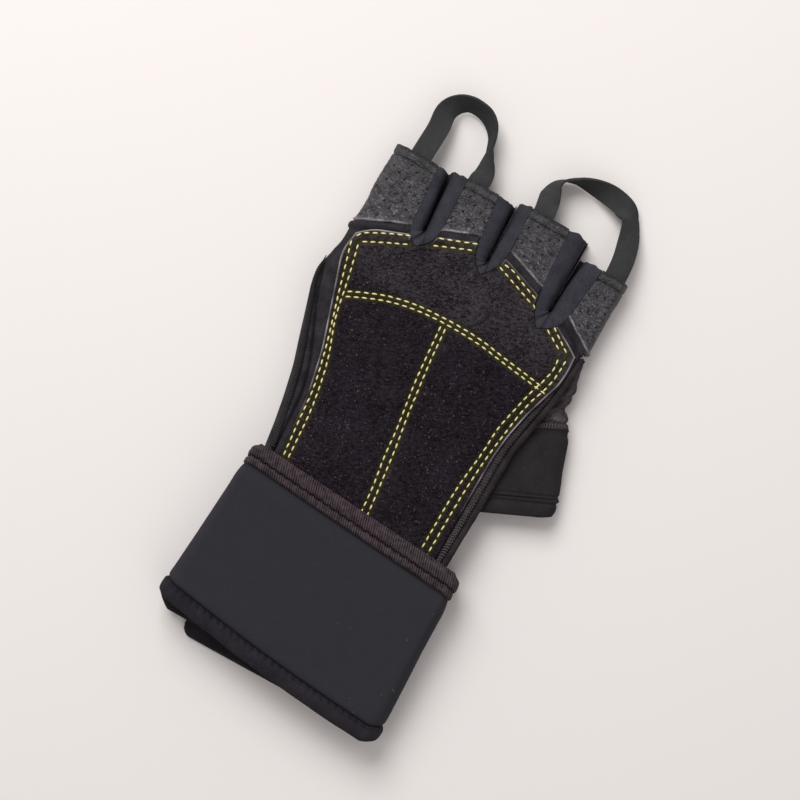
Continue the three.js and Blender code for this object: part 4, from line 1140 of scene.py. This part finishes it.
# The seam between the thumb's bunched cloth and its band
def thumbOverlock():
    inner, outer = thumbSections[3, :2], thumbSections[3, 2:]
    t = np.linspace(0.25, 0.93, 320)[:, None]
    middle = np.concatenate([lerp(inner, outer, t), thumbFacts["height"] + 0 * t], axis=1)
    middle[:, 1] += 0.0009
    ahead = unit(outer - inner)
    wide = np.repeat([[-ahead[1] * 0.0012, ahead[0] * 0.0012, 0]], len(t), axis=0)
    up = np.repeat([[0, 0, 0.0006]], len(t), axis=0)
    return overlock("thumb_overlock", middle, wide, up, 0.0012, looks["overlock"])


cuffFacts = {"wall": 0.0014, "height": 0.0108, "end": -0.11096}


def cuff():
    facts = cuffFacts
    y = np.linspace(hand["end"] - hand["gap"], facts["end"], 50)
    left, right = across(littleSide, hand["end"]), across(rollSide, hand["end"])
    inner = np.stack([left + 0 * y, y], axis=-1)
    outer = np.stack([right + 0 * y, y], axis=-1)
    top = hand["lift"] + facts["height"]
    rings = flatRings(inner, outer, hand["lift"], top, 0.35 * facts["height"], 90, 16)
    normals = facingNormals(rings, rings - rings.mean(axis=1, keepdims=True), around=True)
    inside = rings - normals * facts["wall"]
    soft = ripple(rings, 0.02, 81) * 0.00012 - 0.00012
    piece = makeWall("wrist_tube", rings + normals * soft[..., None], inside, 0.35, around=True)
    return finishPiece(piece, looks["cloth"], ["cuff"])


# Strap: how far its edges lie below its highest point, as shares of its width, at places on its way round
strap = {
    "top": -0.045,
    "width": 0.068,
    "wall": 0.002,
    "underZ": 0.0034,
    "overZ": 0.0188,
    "fold": 0.0065,
    "endX": -0.035,
    "corner": 0.0035,
    "binding": 8 / 68,
    "hem": 1 - 6 / 68,
    "sag": 0.02,
    "zigzag": 0.62,  # the share of the binding's width at which its seam runs
    "zigzagPitch": 0.0035,
    "zigzagSwing": 0.0003,
    "threadWidth": 0.0004,
    "roll": 0.0011,
    "band": 0.0006,
    "ribs": 0.00009,
    "seamDip": 0.0006,
    "hemPuff": 0.0006,
    "hemBeat": 0.0032,
}
strapStations = {
    "start": (0.05, 1.06), "leftUnder": (0.03, 1.06), "leftCrest": (0.03, 0.965), "leftOver": (0, 0.995),
    "rightOver": (0.085, 1.135), "rightCrest": (0.125, 1.095), "rightUnder": (0.1, 1.125),
    "nearEnd": (0.13, 1.145), "end": (0.16, 1.11),
}
strapReach = {"left": (-0.0458, -0.0503), "right": (0.0475, 0.0505)}


def strapPlaces(topCount):
    places = []
    leftX = strapReach["left"][1] + strap["fold"]
    rightX = strapReach["right"][1] - strap["fold"]

    def flat(fromX, toX, z, a, b, count, onTop=0):
        for t in np.linspace(0, 1, count):
            places.append((lerp(fromX, toX, t), z, a, b, t, 0, (0, 0), onTop))

    def fold(x, reach, fromZ, toZ, a, crest, b):
        for t in np.linspace(0, 1, 26)[1:-1]:
            z = lerp(fromZ, toZ, (1 - math.cos(math.pi * t)) / 2)
            near = (a, crest, 2 * t) if t < 0.5 else (crest, b, 2 * t - 1)
            onTop = t if toZ > fromZ else 1 - t
            places.append((x, z, *near, math.sin(math.pi * t) ** 0.85, reach, onTop))

    flat(rightX - 2 * strap["wall"], leftX, strap["underZ"], "start", "leftUnder", 60)
    fold(leftX, strapReach["left"], strap["underZ"], strap["overZ"], "leftUnder", "leftCrest", "leftOver")
    flat(leftX, rightX, strap["overZ"], "leftOver", "rightOver", topCount, 1)
    fold(rightX, strapReach["right"], strap["overZ"], 0, "rightOver", "rightCrest", "rightUnder")
    flat(rightX, strap["endX"] + strap["corner"], 0, "rightUnder", "nearEnd", 60)
    for t in (0.3, 0.6, 0.85, 1):
        x = strap["endX"] + strap["corner"] * (1 - t)
        places.append((x, 0, "nearEnd", "end", t * t, 0, (0, 0), 0))
    return places


# A stretch of the strap between two shares of its width. shape gives how far it stands out.
def strapPiece(name, start, end, rows, shape, look, node, topCount=120):
    places = strapPlaces(topCount)
    shares = np.linspace(start, end, rows)
    grid = []
    onTop = []
    for x, z, a, b, t, out, reach, top in places:
        (topA, lowA), (topB, lowB) = strapStations[a], strapStations[b]
        sag = strap["sag"] * math.sin(math.pi * t) if top == 1 else 0
        below = lerp(lerp(topA, topB, t), lerp(lowA, lowB, t) + sag, shares)
        crest = lerp(reach[0], reach[1], shares)
        xs = lerp(x, crest, out) if out else x + 0 * shares
        grid.append(np.stack([xs, strap["top"] - strap["width"] * below, z + 0 * shares], axis=-1))
        onTop.append(top)
    grid = np.array(grid).transpose(1, 0, 2)
    onTop = np.array(onTop)[None, :]
    normals = facingNormals(grid, (onTop == 1)[..., None] * [0, 0, 1])
    inner = grid - normals * strap["wall"]
    lift, thread = shape(grid, np.linspace(0, 1, rows)[:, None], smooth(0, 1, onTop) + 0 * grid[..., 0])
    piece = makeWall(name, grid + normals * lift[..., None], inner, 0.4, marks={"thread": thread})
    return finishPiece(piece, looks[look], [node])


# Each shape gives how far the cloth stands out, and how dark a thread or a painted shade line lies on it
def bindingShape(points, f, onTop):
    roll = np.sqrt(np.clip(1 - ((f - 0.3) / 0.32) ** 2, 0, 1)) * strap["roll"]
    band = strap["band"] * smooth(0.62, 0.7, f) * smooth(1.05, 0.93, f)
    wave = strap["zigzagSwing"] * np.sin(points[..., 0] * 2 * np.pi / strap["zigzagPitch"])
    fromSeam = (f - strap["zigzag"]) * strap["binding"] * strap["width"] + wave
    thread = np.exp(-((fromSeam / strap["threadWidth"]) ** 2))
    slanted = points[..., 0] + bindingTones["slant"] * points[..., 1]
    ribs = strap["ribs"] * np.sin(2 * np.pi * slanted / bindingTones["rib"])
    soft = ripple(points, 0.01, 91, (1, 0.4, 1)) * 0.00012
    return (roll + band + ribs) * onTop - strap["seamDip"] * thread + soft, thread


def wrapShape(points, f, onTop):
    rise = -0.0007 * np.exp(-f / 0.02) + 0.0002 * bump(f, 0.1, 0.06)
    soft = ripple(points, 0.05, 92) * 0.0003 + ripple(points, 0.02, 93) * 0.00005
    tuck = -0.0007 * np.exp(-(1 - f) / 0.015)
    lift = rise * onTop + (soft - 0.0001) * smooth(0, 0.1, f) * smooth(1, 0.9, f) + tuck
    # No thread here: painted shade lines, below the binding and in the tuck above the hem
    return lift, 0.6 * np.exp(-(1 - f) / 0.008) + 0.9 * np.exp(-f / 0.012) + 0 * lift


def wrapHemShape(points, f, onTop):
    beat = np.sin(2 * np.pi * points[..., 0] / strap["hemBeat"])
    puff = strap["hemPuff"] * np.sin(np.pi * np.clip(f * 1.1 - 0.1, 0, 1)) ** 0.7 * (0.4 + 0.6 * onTop)
    lift = puff + 0.00045 * beat * bump(f, 0.05, 0.22) - 0.001 * np.exp(-f / 0.09)
    lift += ripple(points, 0.012, 94) * 0.00015
    return lift, np.clip(0.6 + beat, 0, 1) * np.exp(-f / 0.06)


# Pull loops: place of the middle in millimetres, and lean of the tape's width in degrees
tape = {"width": 0.0085, "wall": 0.001, "tail": 0.007}
outerLoop = [
    (-46.1, 80.3, 9.6, 0), (-45.9, 87.1, 8.6, 0), (-45.8, 93.7, 7.1, 6), (-46.3, 101.1, 5.8, 22),
    (-43.8, 105.5, 5.3, 42), (-40, 107.9, 5, 56), (-36.2, 108.2, 5, 58), (-32, 107.3, 5, 58),
    (-28.6, 104.9, 5.1, 64), (-26.2, 101.4, 5.2, 74), (-24.6, 96.2, 5.6, 80), (-23.3, 91.5, 6.5, 60),
    (-22, 86.9, 7.9, 26), (-22, 82, 9.6, 0),
]
innerLoop = [
    (5.6, 84.2, 9.6, 0), (4.9, 89.5, 8.6, -8), (3.9, 93.6, 7.4, -34), (3.8, 96.8, 6.3, -64),
    (5.4, 99.9, 5.5, -80), (10.6, 102.9, 5.2, -97), (17.7, 104.3, 4.9, -128), (25.3, 104.4, 4.6, -160),
    (31.2, 103.1, 4.6, -178), (35.3, 100.2, 5.2, -222), (37.5, 96.2, 5.8, -212), (39.3, 91, 6.9, -190),
    (40.7, 84.5, 8.4, -182), (41.2, 77, 9.6, -180),
]


# Centripetal curve through points: places and directions at even shares of its spans
def throughPoints(points, count):
    points = np.array(points)
    padded = np.concatenate([[2 * points[0] - points[1]], points, [2 * points[-1] - points[-2]]])
    spans = len(points) - 1
    placed = []
    for t in np.linspace(0, spans, count):
        i = min(int(t), spans - 1)
        p = padded[i : i + 4]
        knots = np.concatenate([[0], np.cumsum(np.linalg.norm(np.diff(p, axis=0), axis=1) ** 0.5)])
        u = lerp(knots[1], knots[2], t - i)

        def mix(a, b, ka, kb):
            return a * (kb - u) / (kb - ka) + b * (u - ka) / (kb - ka)

        first = [mix(p[k], p[k + 1], knots[k], knots[k + 1]) for k in range(3)]
        second = [mix(first[k], first[k + 1], knots[k], knots[k + 2]) for k in range(2)]
        placed.append(mix(second[0], second[1], knots[1], knots[2]))
    placed = np.array(placed)
    return placed, unit(np.gradient(placed, axis=0))


def pullLoop(name, table, node):
    points = [(x * 0.001, y * 0.001, z * 0.001) for x, y, z, _ in table]
    leans = [row[3] for row in table]
    points.insert(0, (points[0][0], points[0][1] - tape["tail"], points[0][2]))
    points.append((points[-1][0], points[-1][1] - tape["tail"], points[-1][2]))
    leans = [leans[0], *leans, leans[-1]]
    count = 14 * (len(points) - 1) + 1
    middle, ahead = throughPoints(points, count)
    places = np.linspace(0, len(points) - 1, count)
    lean = np.radians(np.interp(places, np.arange(len(points)), leans))[:, None]
    flat = unit(np.stack([ahead[:, 1], -ahead[:, 0], 0 * ahead[:, 0]], axis=-1))
    side = flat * np.cos(lean) + np.cross(ahead, flat) * np.sin(lean)
    side += ahead * (ahead * flat).sum(1)[:, None] * (1 - np.cos(lean))
    normal = unit(np.cross(ahead, side))
    shape = []
    for w in np.linspace(-1, 1, 13):
        shape.append((w, -1 + 0.5 * max(0, abs(w) - 0.8)))
    for w in np.linspace(1, -1, 13):
        shape.append((w, 1 - 0.5 * max(0, abs(w) - 0.8)))
    rings = []
    for w, n in shape:
        rib = 0.1 * (1 if abs(w) > 0.82 else 0)
        rings.append(middle + side * (w * tape["width"] / 2) + normal * (n * (1 + rib) * tape["wall"] / 2))
    rings = np.array(rings).transpose(1, 0, 2)
    piece = makeBar(name, rings)
    return finishPiece(piece, looks["tape"], [node])


# One stitch, a thread that rises from the cloth and dips back into it, lying along X
def stitchShape():
    bpy.ops.object.select_all(action="DESELECT")
    bpy.ops.mesh.primitive_uv_sphere_add(segments=8, ring_count=6, radius=1, rotation=(0, math.pi / 2, 0))
    seed = bpy.context.object
    bpy.ops.object.transform_apply(location=False, rotation=True, scale=False)
    points = np.array([v.co for v in seed.data.vertices])
    faces = [list(f.vertices) for f in seed.data.polygons]
    bpy.data.objects.remove(seed)
    points[:, 2] = points[:, 2] - 0.9 * np.abs(points[:, 0]) ** 3
    return points, faces


stitch = stitchShape()


# Copies the stitch along pairs of place and direction, with the cloth's normal up
def layStitches(name, places, directions, normals, length, radius, look):
    points, faces = stitch
    directions = unit(directions)
    side = unit(np.cross(normals, directions))
    up = np.cross(directions, side)
    all3 = (
        places[:, None, :]
        + directions[:, None, :] * (points[:, 0] * length / 2)[None, :, None]
        + side[:, None, :] * (points[:, 1] * radius)[None, :, None]
        + up[:, None, :] * (points[:, 2] * radius)[None, :, None]
    )
    many = []
    for i in range(len(places)):
        many += [[v + i * len(points) for v in face] for face in faces]
    mesh = bpy.data.meshes.new(name)
    mesh.from_pydata(all3.reshape(-1, 3).tolist(), [], many)
    mesh.uv_layers.new(name="cloth")
    return finishPiece(placePiece(name, mesh), look, angle=80)


def surfaceBelow(piece, x, y, top=0.05):
    dg = bpy.context.evaluated_depsgraph_get()
    seen = piece.evaluated_get(dg)
    places, normals = [], []
    for px, py in zip(x, y):
        hit, place, normal, _ = seen.ray_cast(Vector((px, py, top)), Vector((0, 0, -1)))
        places.append(place if hit else (px, py, -1))
        normals.append(normal if hit else (0, 0, 1))
    return np.array(places), np.array(normals)


def yellowStitches(panel):
    facts = stitchFacts
    places, directions, normals = [], [], []
    for row in stitchRows.values():
        line = evenly(np.array(row) * 0.001, facts["pitch"] / 2)
        middles = line[1::2]
        ahead = np.gradient(line, axis=0)[1::2]
        on, up = surfaceBelow(panel, middles[:, 0], middles[:, 1])
        kept = on[:, 2] > 0
        places.append(on[kept])
        directions.append(np.concatenate([ahead, 0 * ahead[:, :1]], axis=1)[kept])
        normals.append(up[kept])
    places = np.concatenate(places)
    directions = np.concatenate(directions)
    normals = unit(np.concatenate(normals))
    directions = directions - normals * (directions * normals).sum(1)[:, None]
    places = places + normals * facts["radius"] * 0.45
    chance = np.random.default_rng(7)
    turn = chance.normal(0, 0.05, len(places))[:, None]
    directions = unit(directions) + np.cross(normals, unit(directions)) * turn
    return layStitches("yellow_stitches", places, directions, normals, facts["length"], facts["radius"],
                       looks["thread"])


panel = palmPanel()
print("suede panel made")
backShell()
palmShell()
for i in range(len(stalls)):
    fingerFront(i)
for i in range(len(strips)):
    fourchette(i)
pinkySeam()
thumbSideRoll()
thumbSideOverlock()
print("hand made")
thumbSleeve("thumb_bunched_cloth", 0, 3, 80, gussetShape, "gusset", "thumb_gusset")
thumbSleeve("thumb_smooth_band", 3, 5, 70, bandShape, "band", "thumb_band")
thumbHem = thumbSleeve("thumb_turned_hem", 5, 6, 26, hemShape, "band", "thumb_hem")
thumbOverlock()
cuff()
print("thumb and wrist tube made")
strapPiece("wrist_strap", strap["binding"], strap["hem"], 90, wrapShape, "neoprene",
           "wrist_wrap")
binding = strapPiece("strap_binding", 0, strap["binding"] - 0.0006 / strap["width"], 34, bindingShape,
                     "ribbed", "wrap_binding", 560)
wrapHem = strapPiece("strap_hem", strap["hem"] + 0.0003 / strap["width"], 1, 26, wrapHemShape, "hem",
                     "wrap_hem", 300)
print("strap made")
pullLoop("loop_outer_tape", outerLoop, "pull_loop_outer")
pullLoop("loop_inner_tape", innerLoop, "pull_loop_inner")
yellowStitches(panel)
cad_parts["wrap_hook_patch"].data.materials.clear()
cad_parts["wrap_hook_patch"].data.materials.append(looks["hook"])
print("loops and stitches made")

# Floor, light and camera
view = {"middle": (-0.00658, -0.0038, 0.012), "across": 0.304, "lens": 90, "turn": 30}
stage = {
    "floorZ": -0.0003,
    "floor": ((0.85, 0.81, 0.805), (0.865, 0.83, 0.825)),
    "sky": (1.0, 0.955, 0.92, 1),
    "skyStrength": 0.42,
    "lights": {  # place, size, watts and colour
        "key": ((-0.66, 0.62, 1.0), 0.8, 15.3, (0.99, 0.985, 0.97)),
        "fill": ((0.7, -0.5, 0.9), 0.9, 1.0, (0.98, 0.97, 1.0)),
    },
}


def makeStage():
    bpy.ops.object.select_all(action="DESELECT")
    bpy.ops.mesh.primitive_plane_add(size=4, location=(0, 0, stage["floorZ"]))
    floor = bpy.context.object
    floor.name = "floor"

    def floorLook(start, coords, cloth):
        tone = coords.noise(0.5, 2, 0.5)
        return {"Base Color": tone.blend(*stage["floor"]), "Roughness": 0.85}

    floor.data.materials.append(makeLook("paleTable", floorLook))
    world = bpy.data.worlds.new("studio")
    bpy.context.scene.world = world
    world.use_nodes = True
    sky = world.node_tree.nodes["Background"].inputs
    sky["Color"].default_value = stage["sky"]
    sky["Strength"].default_value = stage["skyStrength"]
    bpy.context.scene.view_settings.view_transform = "Standard"
    for name, (place, size, power, colour) in stage["lights"].items():
        lamp = bpy.data.lights.new(name, "AREA")
        lamp.energy = power
        lamp.size = size
        lamp.color = colour
        holder = bpy.data.objects.new(name, lamp)
        holder.location = place
        holder.rotation_euler = (-Vector(place)).to_track_quat("-Z", "Y").to_euler()
        bpy.context.collection.objects.link(holder)


def makeCamera():
    data = bpy.data.cameras.new("camera")
    data.lens = view["lens"]
    data.sensor_width = 36
    data.clip_start = 0.01
    camera = bpy.data.objects.new("camera", data)
    x, y, z = view["middle"]
    away = view["across"] / 2 * view["lens"] / 18
    camera.location = (x, y, z + away)
    camera.rotation_euler = (0, 0, math.radians(view["turn"]))
    bpy.context.collection.objects.link(camera)
    bpy.context.scene.camera = camera


makeStage()
makeCamera()
print("stage made")
